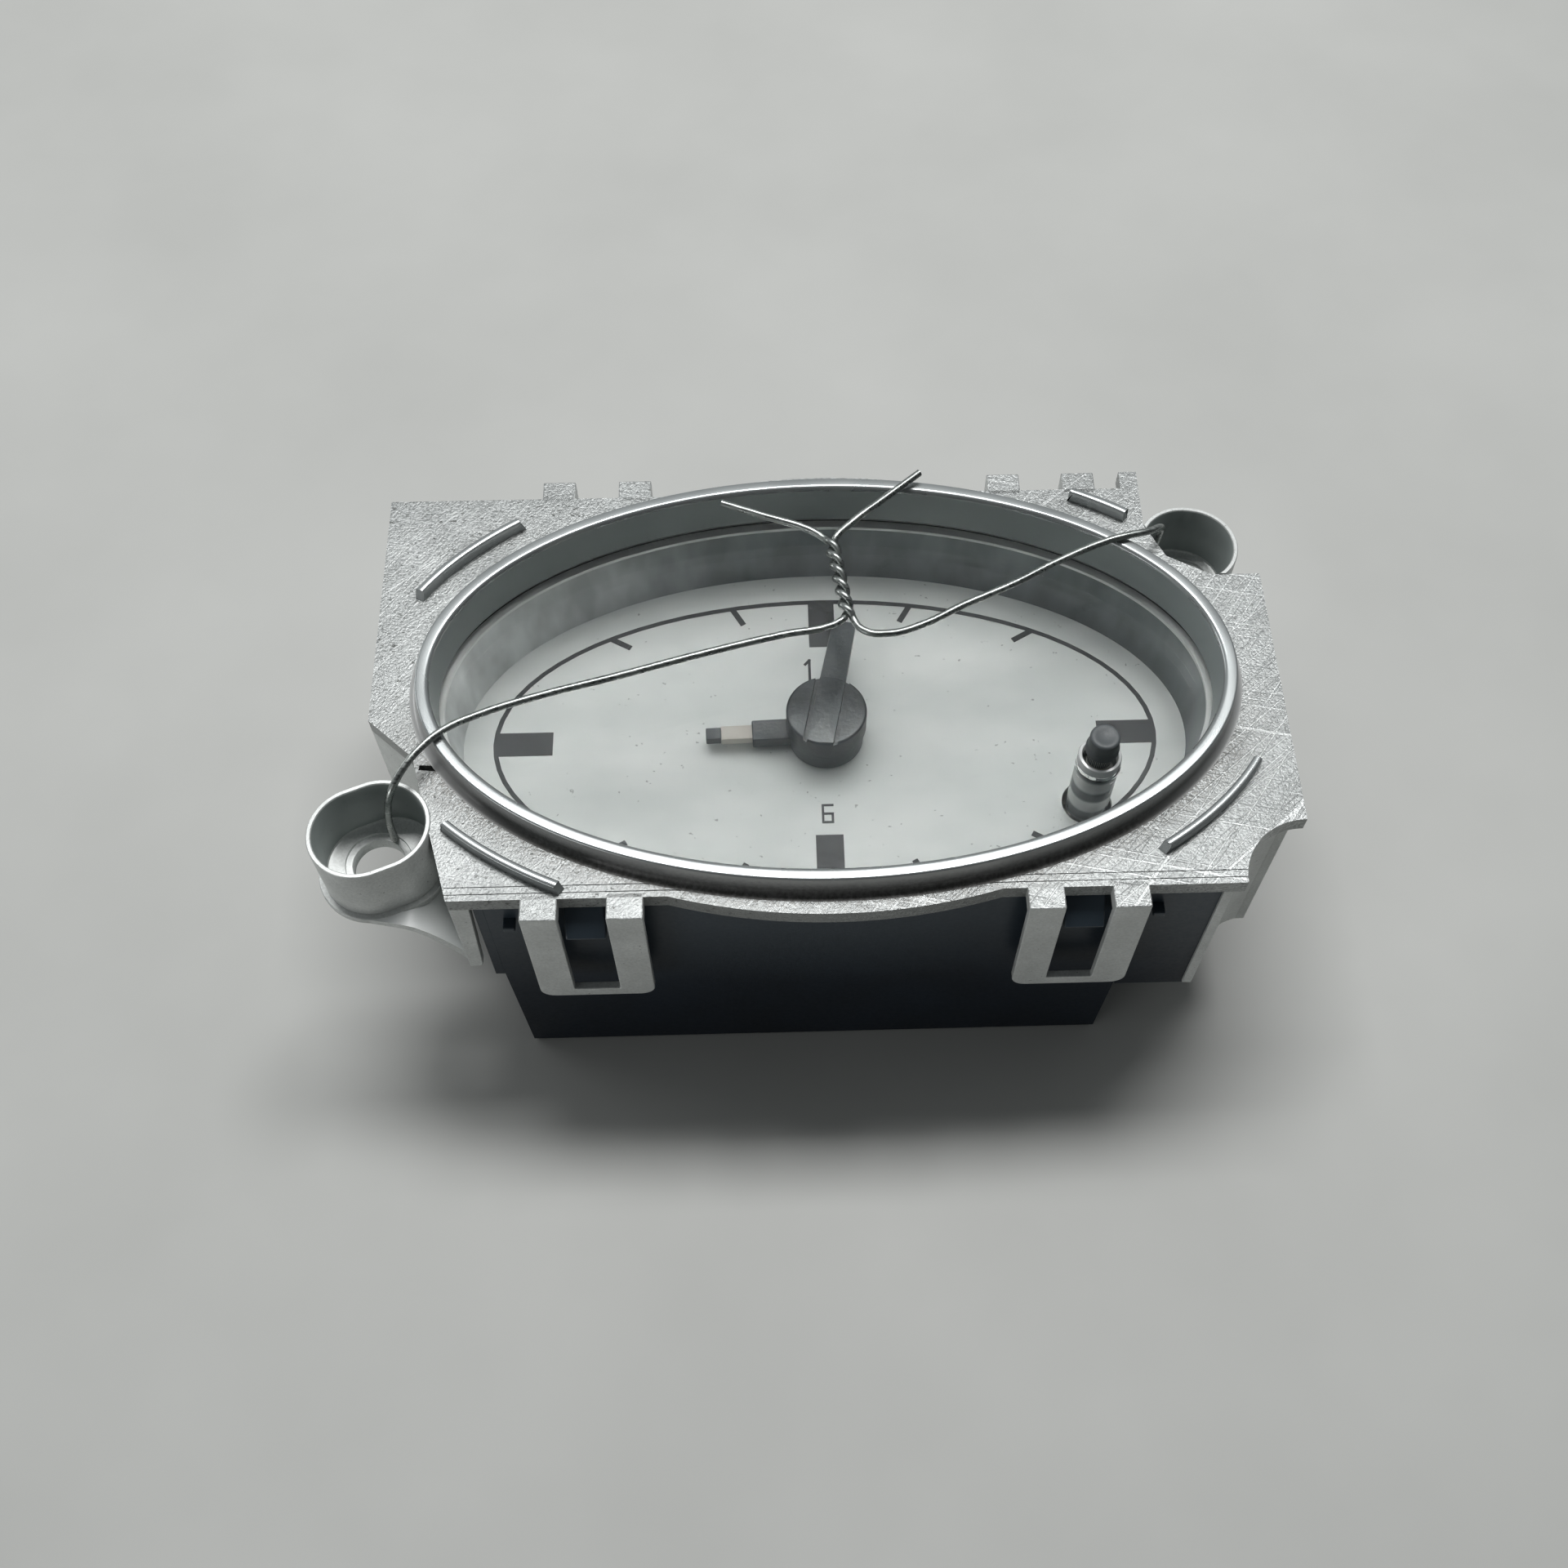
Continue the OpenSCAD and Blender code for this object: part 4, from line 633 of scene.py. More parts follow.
# Front bezel: the oval ring is swept in one section round the oval, and the rest hangs from the flange
def bezel_ring():
    """The ring with a hollow foot and a rounded crest. Each of its walls has its own copy of the paint, with
    painted shade.
    """
    foot = arc(RIM_A + 1.95, FLANGE_TOP + 1.0, 1.0, 1.0, 270, 190, 8)
    crest = (arc(RIM_A + 0.55, CREST - 0.3, 0.3, 0.3, 10, 90, 4)
             + arc(RIM_A - 0.25, CREST - 0.6, 0.6, 0.6, 90, 180, 8))
    outline = [(RIM_A - 1.1, LENS_TOP + 0.35), (RIM_A + 1.9, FLANGE_TOP - 0.5)] + foot + crest
    bm = lathe(outline, steps=288)
    stretch_to_oval(bm)
    ring = finish_piece("bezel_ring", bm, "case", "front_bezel", RING, 30)
    ring.data.materials.append(RING_WALL)
    ring.data.materials.append(RING_INSIDE)
    # The outer wall takes the paint with painted shade at its near foot; the inner wall takes the darker
    # copy, which is painted shade
    for face in ring.data.polygons:
        spread = math.hypot(face.center.x / RIM_A, face.center.y / RIM_B) / MM
        if spread > 1.01 and (face.center.z < (CREST - 0.5) * MM or face.normal.z < 0.6):
            face.material_index = 1
        elif face.center.z < (CREST - 0.6) * MM:
            face.material_index = 2
    return ring


SLOT_LONG, SLOT_WIDE, SLOT_LEAN, SLOT_MIDDLE = 3.4, 0.7, 5, (-46.3, -11.2)
SCORED_LINES, SCORED_HALF, SCORED_DEEP = (-26.95, -27.85), 0.09, 0.12


def bezel_flange():
    """The flange with the ring's oval cut out, a small slot on the left and two fine scored lines along
    its near edge. The rounding of its top edges leaves the scored lines sharp."""
    under, over = FLANGE_BOT - 1, FLANGE_TOP + 1
    slot = block(-SLOT_LONG / 2, SLOT_LONG / 2, -SLOT_WIDE / 2, SLOT_WIDE / 2, under, over)
    turn_about_hub(slot, SLOT_LEAN)
    bmesh.ops.translate(slot, vec=(*SLOT_MIDDLE, 0), verts=slot.verts)
    lines = [block(-44, 50, y - SCORED_HALF, y + SCORED_HALF, FLANGE_TOP - SCORED_DEEP, over)
             for y in SCORED_LINES]
    bm = carve(plate(flange_outline(), FLANGE_BOT, FLANGE_TOP),
               plate(oval_points(RIM_A, RIM_B), under, over), slot, *lines)
    far_line, near_line = SCORED_LINES[0] + 0.25, SCORED_LINES[1] - 0.25
    soften(bm, 0.16, 40, lambda e: all(abs(v.co.z - FLANGE_TOP) < 0.01 for v in e.verts)
           and not all(near_line < v.co.y < far_line for v in e.verts))
    return finish_piece("bezel_flange", bm, "case", "front_bezel", SILVER)


RIB_OUT, RIB_HALF, RIB_TALL = 5.95, 0.55, 1.7
RIB_SPANS = ((44, 54), (134, 157.5), (214.2, 235.5), (313.5, 338))
RIB_END_SLOPE = 1.1


def bezel_ribs():
    """Four arc ribs with narrow rounded tops and sloped ends. The spans and the ends' slope are in
    degrees round the ring."""
    bm = bmesh.new()
    middle, foot, top = RIM_A + RIB_OUT, FLANGE_TOP - 0.4, FLANGE_TOP + RIB_TALL
    section = ([(middle - RIB_HALF, foot), (middle + RIB_HALF, foot)]
               + arc(middle, top - 0.2, RIB_HALF - 0.04, 0.2, 0, 180, 6))
    for low, high in RIB_SPANS:
        rib = lathe(section, steps=28, span=high - low, start=low)
        for v in rib.verts:
            t = math.degrees(math.atan2(v.co.y, v.co.x)) % 360
            for end, inward in ((low, 1), (high, -1)):
                if abs(t - end) < 0.05:
                    lift = max(0.0, v.co.z - FLANGE_TOP) / RIB_TALL
                    v.co = Matrix.Rotation(math.radians(inward * RIB_END_SLOPE * lift), 3, "Z") @ v.co
        stretch_to_oval(rib)
        gather(bm, rib)
    return finish_piece("bezel_ribs", bm, "case", "front_bezel", RING, 40)


def snap_loops():
    """Four loops with rounded lower corners, each with a window and two arms from the flange."""
    bm = bmesh.new()
    bottom = FLANGE_TOP - LOOP_TALL
    out = FLANGE_Y + LOOP_OUT
    x0, x1, r = LOOP_X - LOOP_HALF, LOOP_X + LOOP_HALF, LOOP_BAR
    outline = ([(x0, FLANGE_TOP)] + arc(x0 + r, bottom + r, r, r, 180, 270, 6)
               + arc(x1 - r, bottom + r, r, r, 270, 360, 6) + [(x1, FLANGE_TOP)])
    for sx in (-1, 1):
        for sy in (-1, 1):
            loop = carve(upright(outline, FLANGE_Y - 0.6, out),
                         block(x0 - 1, x1 + 1, FLANGE_Y - 2, out - LOOP_THICK, bottom - 1, FLANGE_BOT),
                         block(LOOP_X - WINDOW_HALF, LOOP_X + WINDOW_HALF, FLANGE_Y - 2, out + 1,
                               bottom + LOOP_BAR, FLANGE_TOP + 1))
            bmesh.ops.dissolve_limit(loop, angle_limit=0.01, verts=loop.verts, edges=loop.edges)
            soften(loop, 0.14, 40)
            for axis, sign in ((0, sx), (1, sy)):
                if sign < 0:
                    for v in loop.verts:
                        v.co[axis] = -v.co[axis]
            gather(bm, loop)
    loops = finish_piece("snap_loops", bm, "case", "front_bezel", SMOOTH_SILVER)
    # The arms' upper faces belong to the flange's
    loops.data.materials.append(SILVER)
    for face in loops.data.polygons:
        face.material_index = int(face.normal.z > 0.5 and face.center.z > FLANGE_BOT * MM)
    return loops


def slot_loop(bm, ends, r, z, n=64):
    """A loop of points on a slot's outline at a height, from a circle drawn apart along the slot."""
    (px, py), (qx, qy) = ends[:2]
    along = Vector((qx - px, qy - py, 0))
    half = along.length / 2
    turn = math.atan2(along.y, along.x)
    made = bmesh.ops.create_circle(bm, cap_ends=False, segments=n, radius=r)["verts"]
    bmesh.ops.rotate(bm, cent=(0, 0, 0), matrix=Matrix.Rotation(math.pi / n, 3, "Z"), verts=made)
    for v in made:
        v.co.x += half if v.co.x > 0 else -half
    bmesh.ops.rotate(bm, cent=(0, 0, 0), matrix=Matrix.Rotation(turn, 3, "Z"), verts=made)
    bmesh.ops.translate(bm, vec=((px + qx) / 2, (py + qy) / 2, z), verts=made)
    return made


def hole_loop(bm, ear, r, z, n=64):
    """A loop of points round an ear's hole at a height, in step with the slot's loops."""
    (px, py), (qx, qy), centre = ear
    made = bmesh.ops.create_circle(bm, cap_ends=False, segments=n, radius=r)["verts"]
    turn = math.pi / n + math.atan2(qy - py, qx - px)
    bmesh.ops.rotate(bm, cent=(0, 0, 0), matrix=Matrix.Rotation(turn, 3, "Z"), verts=made)
    bmesh.ops.translate(bm, vec=(*centre, z), verts=made)
    return made


def slot_plate(ends, r, z0, z1):
    """A slot's outline raised from z0 to z1."""
    bm = bmesh.new()
    face = bm.faces.new(slot_loop(bm, ends, r, z0))
    raised = bmesh.ops.extrude_face_region(bm, geom=[face])
    bmesh.ops.translate(bm, vec=(0, 0, z1 - z0),
                        verts=[v for v in raised["geom"] if isinstance(v, bmesh.types.BMVert)])
    return bm


def screw_ears():
    """Two deep slot-shaped cups with thin rims and a floor with a stepped round hole."""
    bm = bmesh.new()
    inner = EAR_R - EAR_WALL
    # Loops up the outside, over the rim, down the inside and across the floor to its hole
    lip = [(slot_loop, EAR_R + 0.62, EAR_BASE - 0.6), (slot_loop, EAR_R + 0.7, EAR_BASE - 0.5),
           (slot_loop, EAR_R + 0.7, EAR_BASE + 0.3), (slot_loop, EAR_R + 0.6, EAR_BASE + 0.4),
           (slot_loop, EAR_R, EAR_BASE + 0.45)]
    wall = [(slot_loop, EAR_R, EAR_TOP - 0.15), (slot_loop, EAR_R - 0.12, EAR_TOP),
            (slot_loop, inner + 0.12, EAR_TOP), (slot_loop, inner, EAR_TOP - 0.15),
            (slot_loop, inner, EAR_FLOOR + 0.35), (slot_loop, inner - 0.1, EAR_FLOOR + 0.1),
            (slot_loop, inner - 0.35, EAR_FLOOR),
            (hole_loop, EAR_HOLE + 0.85, EAR_FLOOR), (hole_loop, EAR_HOLE + 0.8, EAR_FLOOR - 0.35),
            (hole_loop, EAR_HOLE + 0.08, EAR_FLOOR - 0.4), (hole_loop, EAR_HOLE, EAR_FLOOR - 0.5)]
    plain = [(slot_loop, EAR_R, EAR_BASE)]
    for ear, foot in ((EAR_LEFT, lip), (EAR_RIGHT, plain)):
        cup = bmesh.new()
        underside = (hole_loop, EAR_HOLE, foot[0][2])
        loops = [make(cup, ear, r, z) for make, r, z in [underside] + foot + wall]
        # The hole is off the slot's middle, so the loops are joined point by point
        for loop, above in zip(loops, loops[1:] + loops[:1]):
            for j in range(len(loop)):
                k = (j + 1) % len(loop)
                cup.faces.new((loop[j], loop[k], above[k], above[j]))
        bmesh.ops.recalc_face_normals(cup, faces=cup.faces)
        if ear is EAR_RIGHT:
            cup = carve(cup, plate(flange_outline(), FLANGE_TOP - 0.55, EAR_TOP + 1))
        gather(bm, cup)
    cups = finish_piece("screw_ears", bm, "case", "front_bezel", SMOOTH_SILVER, 40)
    # The cups' inner walls take the darker copy of the paint, which is painted shade
    cups.data.materials.append(CUP_INSIDE)
    for face in cups.data.polygons:
        hole_x, hole_y = (EAR_LEFT if face.center.x < 0 else EAR_RIGHT)[2]
        outward = ((face.center.x - hole_x * MM) * face.normal.x
                   + (face.center.y - hole_y * MM) * face.normal.y)
        on_wall = (EAR_FLOOR + 0.3) * MM < face.center.z < (EAR_TOP - 0.1) * MM
        face.material_index = int(outward < 0 and on_wall)
    return cups


def ribbon_wall(points, z0, z1, thickness):
    """A wall of even thickness on the inner side of a run of points, from z0 up to z1."""
    inner = []
    for i, p in enumerate(points):
        a = Vector(p) - Vector(points[i - 1]) if i else Vector(points[1]) - Vector(p)
        b = Vector(points[i + 1]) - Vector(p) if i < len(points) - 1 else a
        a.normalize()
        b = b.normalized()
        inner.append(Vector(p) + Vector((-a.y - b.y, a.x + b.x)) * thickness / (1 + a.dot(b)))
    return plate(list(points) + [tuple(v) for v in reversed(inner)], z0, z1)


def side_walls():
    """The walls that hang from the flange's ends and from its notched corner, and the corner leg."""
    inset, top = 1.1, FLANGE_BOT + 0.02
    right = notch_arc(inset)
    right_x = FLANGE_X - inset
    parts = [ribbon_wall(LEFT_RUN, SKIRT_LEFT, top, WALL),
             block(-FLANGE_X, -FLANGE_X + 6, FLANGE_Y - WALL, FLANGE_Y, SKIRT_LEFT, top),
             ribbon_wall([p for p in right if p[0] < right_x], SKIRT_RIGHT, top, WALL),
             block(right_x - WALL, right_x, right[-1][1] - 0.3, RIGHT_STEP_Y, SKIRT_RIGHT, top)]
    x, y = LEFT_RUN[-1]
    parts.append(upright([(x, SKIRT_LEFT), (x + 1.0, SKIRT_LEFT), (x + 1.4, SKIRT_LEFT + 0.2),
                          (x + 1.6, SKIRT_LEFT + 0.7), (x + 2.3, top), (x, top)], y, y + WALL))
    for part in parts:
        soften(part, 0.12)
    bm = gather(bmesh.new(), *parts)
    return finish_piece("side_walls", bm, "case", "front_bezel", SMOOTH_SILVER)


# The web's section from the corner leg outward and back under, from the leg's edge and the ear's foot
WEB_TOP = [(0.5, -5.2), (-1.1, -3.4), (-2.3, -2.1), (-3.8, -0.8), (-5.3, 0.1), (-6.8, 0.35), (-12, 0.35)]
WEB_LOW = [(-12, -0.55), (-6.8, -0.7), (-5.3, -1.2), (-3.9, -2.2), (-2.5, -3.6), (-1.1, -5.4), (0.5, -7.6)]


def ear_web():
    """The curved sheet that runs from the left ear's lip down to the corner leg."""
    x, y = LEFT_RUN[-1]
    section = [(x + px, EAR_BASE + pz) for px, pz in WEB_TOP + WEB_LOW]
    far = (EAR_LEFT[0][0] - 1.1, EAR_LEFT[0][1] - EAR_R - 0.5)
    plan = plate([far, (x + 0.5, y + 0.3), (LEFT_RUN[-2][0] + 0.5, LEFT_RUN[-2][1] + 0.3)],
                 EAR_BASE - 8.2, EAR_TOP)
    bm = carve(upright(section, -FLANGE_Y, 0), plan, how="INTERSECT")
    bm = carve(bm, slot_plate(EAR_LEFT, EAR_R - EAR_WALL / 2, EAR_BASE - 9, EAR_TOP))
    web = finish_piece("ear_web", bm, "case", "front_bezel", SMOOTH_SILVER, 25)
    # Its upper side takes a near-white copy of the paint, a painted highlight
    web.data.materials.append(WEB_HIGHLIGHT_PAINT)
    for face in web.data.polygons:
        face.material_index = int(face.normal.z > 0.1)
    return web


bezel_ring()
bezel_flange()
bezel_ribs()
snap_loops()
screw_ears()
side_walls()
ear_web()


# Glass with its sleeve, and the surround between the glass and the dial
def glass():
    """The flat glass, with a hole that the sleeve fits with little room."""
    low, high, hole_r = LENS_BOT - 1, LENS_TOP + 1, SLEEVE_R + 0.02
    bm = carve(plate(oval_points(SEAT_A, SEAT_B), LENS_BOT, LENS_TOP),
               lathe([(0, low), (hole_r, low), (hole_r, high), (0, high)], KNOB, 64))
    soften(bm, 0.12)
    return finish_piece("glass_plate", bm, "case", "lens", ACRYLIC)


def stem_sleeve():
    """The clear sleeve round the setting stem, with its collar above the glass."""
    foot, top = DIAL_TOP - 0.3, LENS_TOP + 1.1
    outline = [(STEM_BORE, foot), (SLEEVE_R, foot), (SLEEVE_R, top - 0.3), (SLEEVE_R - 0.1, top - 0.05),
               (SLEEVE_BORE + 0.1, top), (SLEEVE_BORE, top - 0.2), (SLEEVE_BORE, foot + 1),
               (STEM_BORE, foot + 1)]
    bm = lathe(outline, KNOB, 72)
    return finish_piece("stem_sleeve", bm, "case", "lens", CLOUDED, 40)


def surround():
    """The wall between the dial and the glass, a little wider at its foot."""
    out, top = RIM_A - 0.4, LENS_BOT - 0.04
    outline = [(out - 1.9, DIAL_TOP), (out, DIAL_TOP), (out, top), (out - 1.1, top),
               (out - 1.15, LENS_BOT - 0.4), (out - 1.35, LENS_BOT - 2.6), (out - 1.8, DIAL_TOP + 0.6)]
    bm = lathe(outline, steps=256)
    stretch_to_oval(bm)
    return finish_piece("surround_wall", bm, "case", "inner_surround", SURROUND, 50)


glass()
stem_sleeve()
surround()


# Hands: made pointing at 12, then turned
def minute_hand():
    """The round cap with its tapering hand, and two grooves beside the hand's root."""
    cap = lathe([(0.001, CAP_BOTTOM), (CAP_R - 0.15, CAP_BOTTOM), (CAP_R, CAP_BOTTOM + 0.15)]
                + arc(CAP_R - 0.3, CAP_TOP - 0.3, 0.3, 0.3, 0, 90, 5) + [(0.001, CAP_TOP)], closed=False)
    bmesh.ops.holes_fill(cap, edges=cap.edges)
    root, tip = MINUTE_HALF_WIDTHS
    blade = plate([(-root, 0), (root, 0), (tip, MINUTE_LONG), (-tip, MINUTE_LONG)],
                  CAP_TOP - 1.6, CAP_TOP - 0.02)
    soften(blade, 0.15)
    grooves = [plate([(side * 1.62, -5.4), (side * 2.15, -5.4), (side * 2.15, 5.4), (side * 1.62, 5.4)],
                     CAP_TOP - 0.5, CAP_TOP + 1) for side in (-1, 1)]
    cap = carve(cap, *grooves)
    gather(cap, blade)
    turn_about_hub(cap, MINUTE_TURN)
    return finish_piece("minute_cap_and_hand", cap, "minute", "minute_hand", HAND)


def hour_hand():
    """The disc with its short block, and the pale pointer with its dark tip in the block's end."""
    disc = lathe([(HOUR_BORE, HOUR_BOTTOM), (HOUR_R, HOUR_BOTTOM), (HOUR_R, HOUR_TOP - 0.2),
                  (HOUR_R - 0.2, HOUR_TOP), (HOUR_BORE, HOUR_TOP)])
    arm = block(-1.45, 1.45, 3.4, 9.3, HOUR_BOTTOM + 0.5, HOUR_TOP - 0.2)
    soften(arm, 0.15)
    gather(disc, arm)
    turn_about_hub(disc, HOUR_TURN)
    finish_piece("hour_disc_and_block", disc, "hour", "hour_hand", HAND)
    low, high = HOUR_BOTTOM + 0.9, HOUR_BOTTOM + 2.1
    for name, half, near, far, material in (("hour_pointer_white", 1.0, 9.2, 13.2, POINTER),
                                            ("hour_pointer_tip", 0.84, 13.2, 15.1, HAND)):
        part = block(-half, half, near, far, low, high)
        soften(part, 0.12)
        turn_about_hub(part, HOUR_TURN)
        finish_piece(name, part, "hour", "hour_pointer", material)


minute_hand()
hour_hand()


# Setting knob: a short dark head with a low flange round its foot
def knob():
    low, top = KNOB_FOOT, KNOB_TOP
    outline = ([(0.001, low), (1.5, low), (1.5, low + 2.1), (2.0, low + 2.2), (2.0, low + 2.8),
                (1.86, low + 3.0), (1.8, low + 3.3)] + arc(1.45, top - 0.35, 0.35, 0.35, 0, 90, 5)
               + [(1.1, top), (0.9, top - 0.08), (0.001, top - 0.1)])
    bm = lathe(outline, KNOB, 64, closed=False)
    bmesh.ops.holes_fill(bm, edges=bm.edges)
    return finish_piece("knob_head", bm, "knob", "set_knob", KNOB_PLASTIC, 35)


knob()


# Rear housing: the dark case under the flange, with its lugs and side blocks
def body_loop(z, inset=0.0):
    """The case's outline at a height: its long sides bulge more toward the flange, and its ends lean in
    below the shoulder."""
    out = max(0.01, BULGE_OUT * (z - BULGE_LOW) / (FLANGE_BOT - BULGE_LOW))
    lean = max(0.0, 1 - z / SHOULDER_LEFT)
    left, right, y = -BODY_LEFT + 0.75 * lean + inset, BODY_RIGHT - 0.9 * lean - inset, BODY_Y - inset
    near, far = bulge(-1, out, y), bulge(1, out, y)
    return [(px, py, z) for px, py in [(left, y), (left, -y)] + near + [(right, -y), (right, y)] + far]


def pocket(low=CAVITY):
    """The oval hollow that holds the dial and the wall round it, from a height up."""
    return plate(oval_points(RIM_A - 0.2, RIM_B - 0.2), low, FLANGE_BOT + 1)


def ear_room():
    """The room that the right ear's cup takes in the case."""
    return slot_plate(EAR_RIGHT, EAR_R + EAR_GAP, EAR_BASE - 0.3, FLANGE_BOT + 1)


def rear_housing():
    """The case with its two shoulders, the collar under the ring, and a lug and a side block by each loop."""
    top, inner_y = FLANGE_BOT - 0.02, BODY_Y - BODY_WALL
    body = loft([body_loop(0, 0.5), body_loop(0.15, 0.15), body_loop(0.5)]
                + [body_loop(z) for z in (BULGE_LOW, SHOULDER_LEFT, 30, top)])
    hollow = block(-BODY_LEFT + BODY_WALL, BODY_RIGHT - BODY_WALL, -inner_y, inner_y, 1.6, CAVITY + 0.01)
    socket = block(-2, 14, 14, 22, -1, 2.6)
    low, high, r = STEM_RECESS, CAVITY + 1, STEM_RECESS_R
    stem_recess = lathe([(0, low), (r, low), (r, high), (0, high)], KNOB, 48)
    body = carve(body, pocket(), hollow, socket, stem_recess)
    left = carve(block(-LEFT_SHOULDER_X, -BODY_LEFT + 0.05, -BODY_Y, BODY_Y, SHOULDER_LEFT, top), pocket())
    inside, near_x, far_x, step_y = BODY_RIGHT - 0.1, *RIGHT_SHOULDER
    plan = [(inside, -BODY_Y), (near_x, -BODY_Y), (near_x, step_y), (far_x, step_y), (far_x, BODY_Y),
            (inside, BODY_Y)]
    right_hollow = block(30, near_x - BODY_WALL, -inner_y, step_y - BODY_WALL, SHOULDER_RIGHT - 1,
                         SHOULDER_LEFT - 1)
    right = carve(plate(plan, SHOULDER_RIGHT, top), pocket(), right_hollow, ear_room())
    collar = carve(plate(oval_points(*COLLAR, 192), SHOULDER_LEFT, top), pocket(SHOULDER_LEFT - 1),
                   ear_room())
    parts = [left, right, collar]
    out, back = FLANGE_Y + LOOP_OUT - 0.3, BODY_Y - 1
    for sx in (-1, 1):
        for sy in (-1, 1):
            lug = plate([(back, FLANGE_BOT - 0.2), (BODY_Y + 0.2, FLANGE_BOT - 0.2), (out, FLANGE_BOT - 3.2),
                         (out, FLANGE_BOT - 3.6), (back, FLANGE_BOT - 4.8)], 0, LUG_WIDE)
            for v in lug.verts:
                v.co = Vector((sx * (LOOP_X - LUG_WIDE / 2 + v.co.z), sy * v.co.x, v.co.y))
            side_block = block(*sorted((sx * 36.65, sx * 38.05)), *sorted((sy * back, sy * (BODY_Y + 1.4))),
                               FLANGE_BOT - 4, FLANGE_BOT - 3.1)
            parts += [lug, side_block]
    for part in parts:
        soften(part, 0.18)
    bm = gather(bmesh.new(), body, *parts)
    return finish_piece("case_back", bm, "case", "rear_housing", HOUSING)


rear_housing()


# Tie wire: two stiff strands, twisted together at the knot. Heights are from the ring's crest.
LEFT_ROUTE = [(-51.9, -16.1, -11), (-51.9, -16.1, -9.5), (-51.7, -15.9, -6), (-51.1, -15.3, -3),
              (-50.2, -14.4, -1.2), (-48.9, -12.7, 0), (-47.2, -10.6, 0.5), (-44.8, -8.4, 0.7),
              (-41, -6.4, 0.7), (-34.8, -4.1, 0.6), (-25.2, -1.4, 0.6), (-15, 1.6, 0.6), (-5, 4.2, 0.6),
              (0.8, 5.4, 0.6)]
RIGHT_ROUTE = [(42.4, 20.9, -11), (42.4, 20.9, -9), (42.5, 20.9, -6), (42.7, 20.9, -3), (42.7, 20.6, -1.4),
               (42.1, 19.9, -0.3), (40.6, 18.9, 0.3), (38, 18.1, 0.6), (35.2, 17.3, 0.6), (29, 14.4, 0.6),
               (22.8, 10.9, 0.6), (16.7, 8, 0.6), (11.5, 5.2, 0.6), (7.2, 4, 0.6), (4.4, 4.6, 0.6)]
TWIST_START, TWIST_END = Vector((2.7, 6.4, 0.7)), Vector((1.0, 18.2, 0.7))
TWIST_TURNS, TWIST_R = 3, 0.5
LEFT_TAIL = [(-1.5, 19.7, 0.8), (-6.9, 21.9, 0.85), (-12.4, 24.1, 0.9)]
RIGHT_TAIL = [(3.4, 20.4, 0.9), (7.9, 24.3, 1.0), (12.5, 28.2, 1.1)]


def twisted(side, steps=12):
    """One strand's turns round the other, begun at an angle in radians."""
    along = (TWIST_END - TWIST_START).normalized()
    v = Vector((0, 0, 1))
    u = along.cross(v)
    n = TWIST_TURNS * steps
    angles = [2 * math.pi * i / steps + side for i in range(n + 1)]
    return [TWIST_START + (TWIST_END - TWIST_START) * i / n + TWIST_R * (u * math.cos(t) + v * math.sin(t))
            for i, t in enumerate(angles)]


def swept_wire(name, points, radius):
    """A round wire swept along a smooth curve through its points."""
    curve = bpy.data.curves.new(name, "CURVE")
    curve.dimensions = "3D"
    curve.resolution_u = 4
    curve.bevel_depth = radius * MM
    curve.bevel_resolution = 4
    curve.use_fill_caps = True
    line = curve.splines.new("BEZIER")
    line.bezier_points.add(len(points) - 1)
    for knot, p in zip(line.bezier_points, points):
        knot.co = Vector(p) * MM
        knot.handle_left_type = knot.handle_right_type = "AUTO"
    thread = bpy.data.objects.new(name, curve)
    bpy.context.scene.collection.objects.link(thread)
    bpy.context.view_layer.update()
    swept = bpy.data.meshes.new_from_object(thread.evaluated_get(bpy.context.evaluated_depsgraph_get()))
    bm = bmesh.new()
    bm.from_mesh(swept)
    bpy.data.objects.remove(thread)
    bpy.data.curves.remove(curve)
    bpy.data.meshes.remove(swept)
    bmesh.ops.scale(bm, vec=(1 / MM, 1 / MM, 1 / MM), verts=bm.verts)
    bmesh.ops.remove_doubles(bm, verts=bm.verts, dist=1e-4)
    return bm


def strand(name, route, side, tail, node):
    """One strand of the tie: its route, its turns round the other strand and its free end."""
    points = [Vector(p) for p in route] + twisted(side) + [Vector(p) for p in tail]
    bm = swept_wire(name, [p + Vector((0, 0, CREST)) for p in points], WIRE_R)
    return finish_piece(name, bm, "case", node, WIRE, 50)


strand("wire_from_left_ear", LEFT_ROUTE, math.pi, LEFT_TAIL, "tie_wire_left")
strand("wire_from_right_ear", RIGHT_ROUTE, 0.0, RIGHT_TAIL, "tie_wire_right")
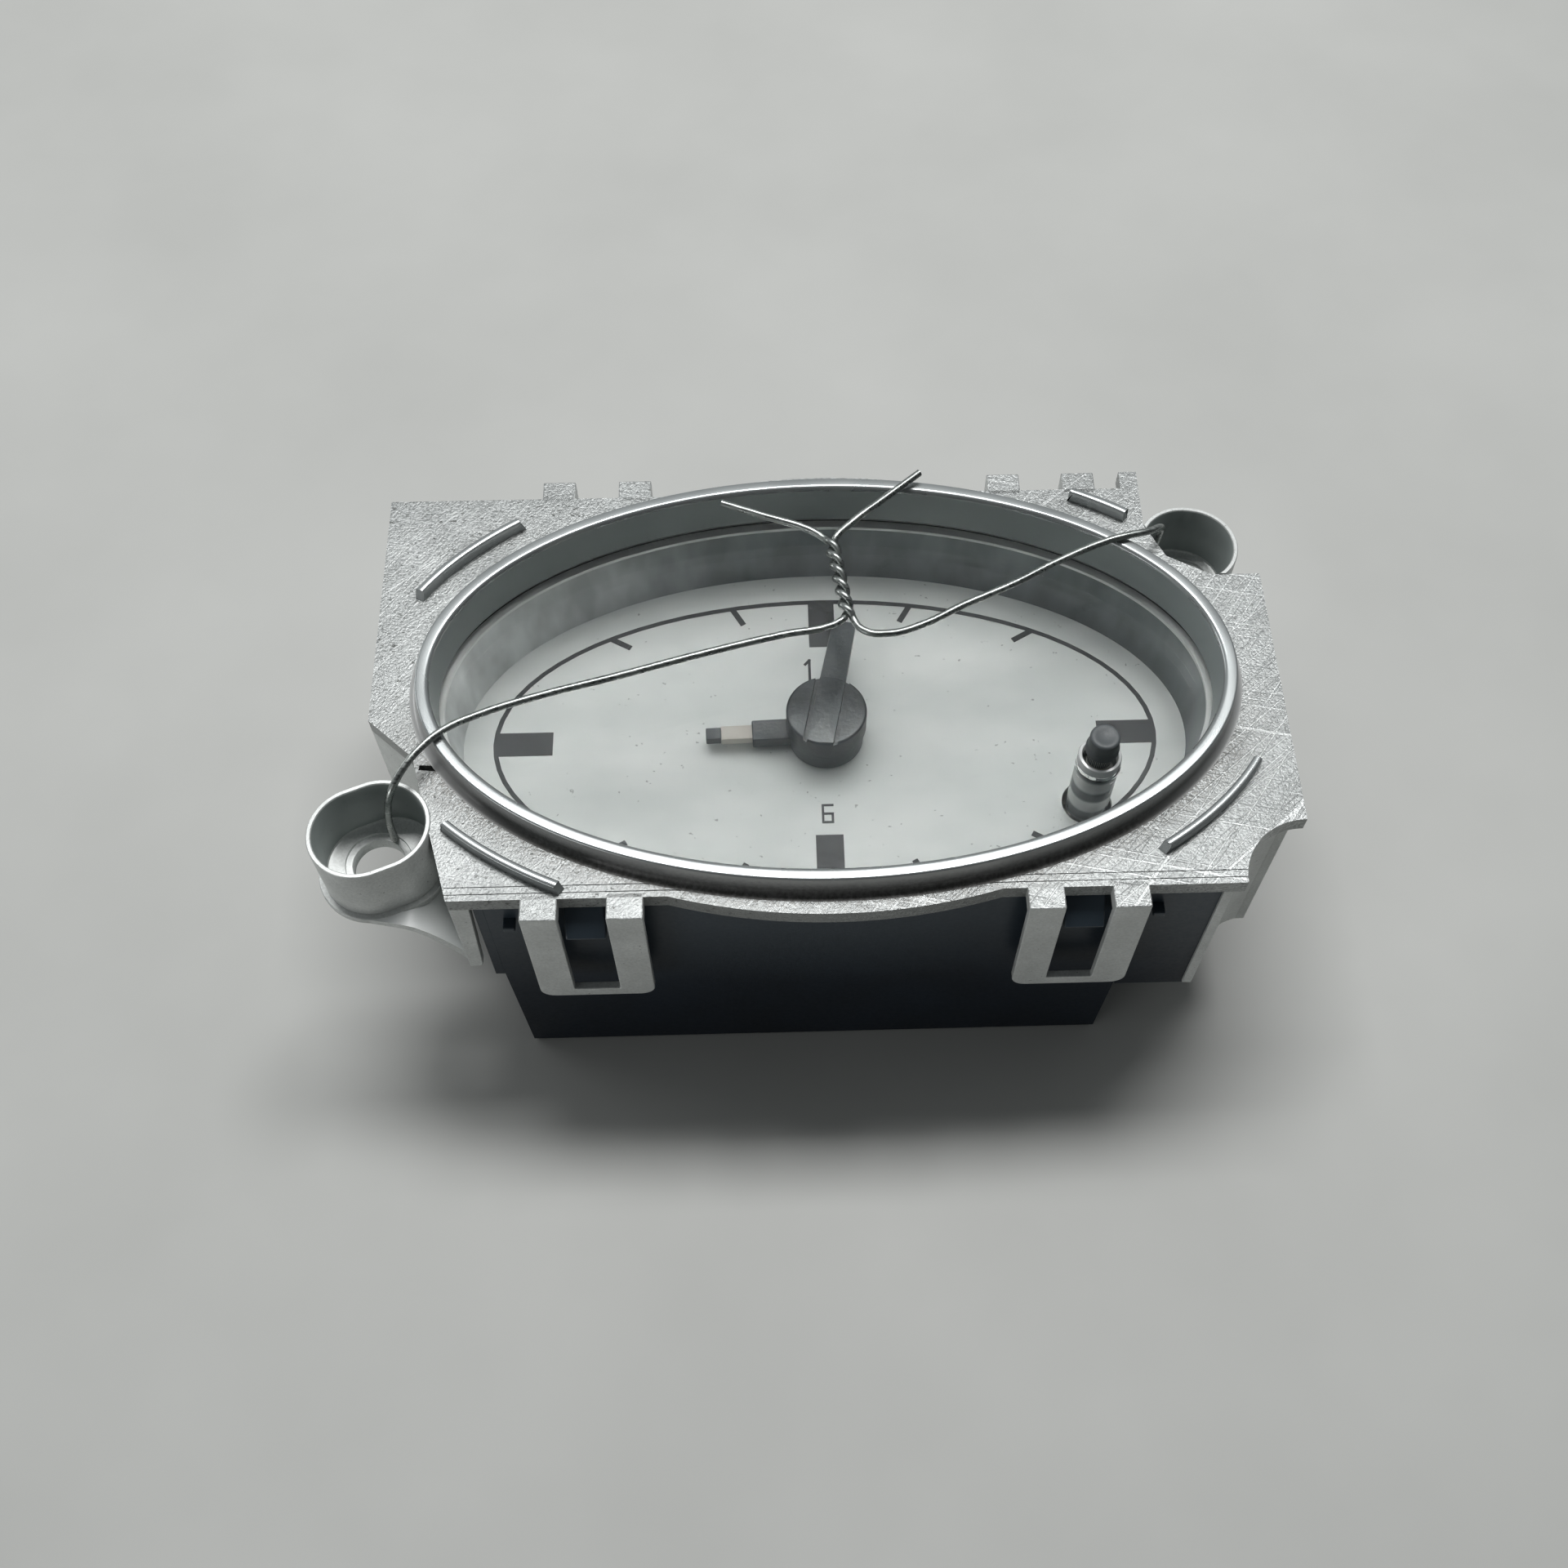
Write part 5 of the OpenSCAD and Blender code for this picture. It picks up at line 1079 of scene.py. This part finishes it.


# The stem's return spring, which shortens while the knob is pushed in. It is made at one length.
def return_spring(steps=12):
    """An open coil between the seat and the pushed cup."""
    low, high, n = SPRING_BOTTOM, SPRING_TOP, SPRING_TURNS * steps
    rise = high - low - 2 * SPRING_WIRE_R
    points = [(KNOB[0] + SPRING_R * math.cos(2 * math.pi * i / steps),
               KNOB[1] + SPRING_R * math.sin(2 * math.pi * i / steps),
               low + SPRING_WIRE_R + rise * i / n) for i in range(n + 1)]
    bm = swept_wire("return_spring", points, SPRING_WIRE_R)
    coil = finish_piece("return_spring", bm, "case", "set_spring", SPRING, 50)
    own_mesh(coil)


return_spring()


# Floor, world and lamps. A lamp's values are its place and aim in metres, its size and its power in watts.
LAMPS = (("ceiling", (0.02, 0.26, 0.80), (0.02, 0.26, 0), (0.60, 0.18), 7.0),
         ("window", (-0.80, 0.42, 0.20), (0, 0, 0.03), (0.40, 0.22), 0.9),
         ("low_panel", (-0.42, -0.36, 0.07), (-0.02, -0.03, 0.035), (0.30, 0.12), 0.42))
TABLE_HALF = 900.0


def studio():
    """The table top, the room's light and the lamps."""
    bm = bmesh.new()
    bmesh.ops.create_grid(bm, x_segments=2, y_segments=2, size=TABLE_HALF)
    bmesh.ops.scale(bm, vec=(MM, MM, MM), verts=bm.verts)
    mesh = bpy.data.meshes.new("table")
    bm.to_mesh(mesh)
    bm.free()
    mesh.materials.append(table_top())
    table = bpy.data.objects.new("table", mesh)
    bpy.context.scene.collection.objects.link(table)
    world = bpy.data.worlds.new("studio")
    world.use_nodes = True
    bpy.context.scene.world = world
    sky = world.node_tree
    back = sky.nodes["Background"]
    back.inputs["Color"].default_value = linear("#D9DEE0")
    # The room is dark behind the camera and on the right, and pale on the far side and on the left
    direction = add(sky, "TexCoord", out="Generated")
    x, y = (add(sky, "SeparateXYZ", (direction,), axis) for axis in "XY")
    lean = add(sky, "Math", (x, -0.45, y), operation="MULTIPLY_ADD")
    sky.links.new(add(sky, "MapRange", (lean, -0.7, 0.9, 0.06, 0.55)), back.inputs["Strength"])
    for name, spot, aim, size, power in LAMPS:
        light = bpy.data.lights.new(name, "AREA")
        light.shape = "RECTANGLE"
        light.size, light.size_y = size
        light.energy = power
        lamp = bpy.data.objects.new(name, light)
        lamp.location = spot
        lamp.rotation_euler = (Vector(aim) - Vector(spot)).to_track_quat("-Z", "Y").to_euler()
        bpy.context.scene.collection.objects.link(lamp)


studio()
bpy.context.scene.view_settings.view_transform = "Standard"
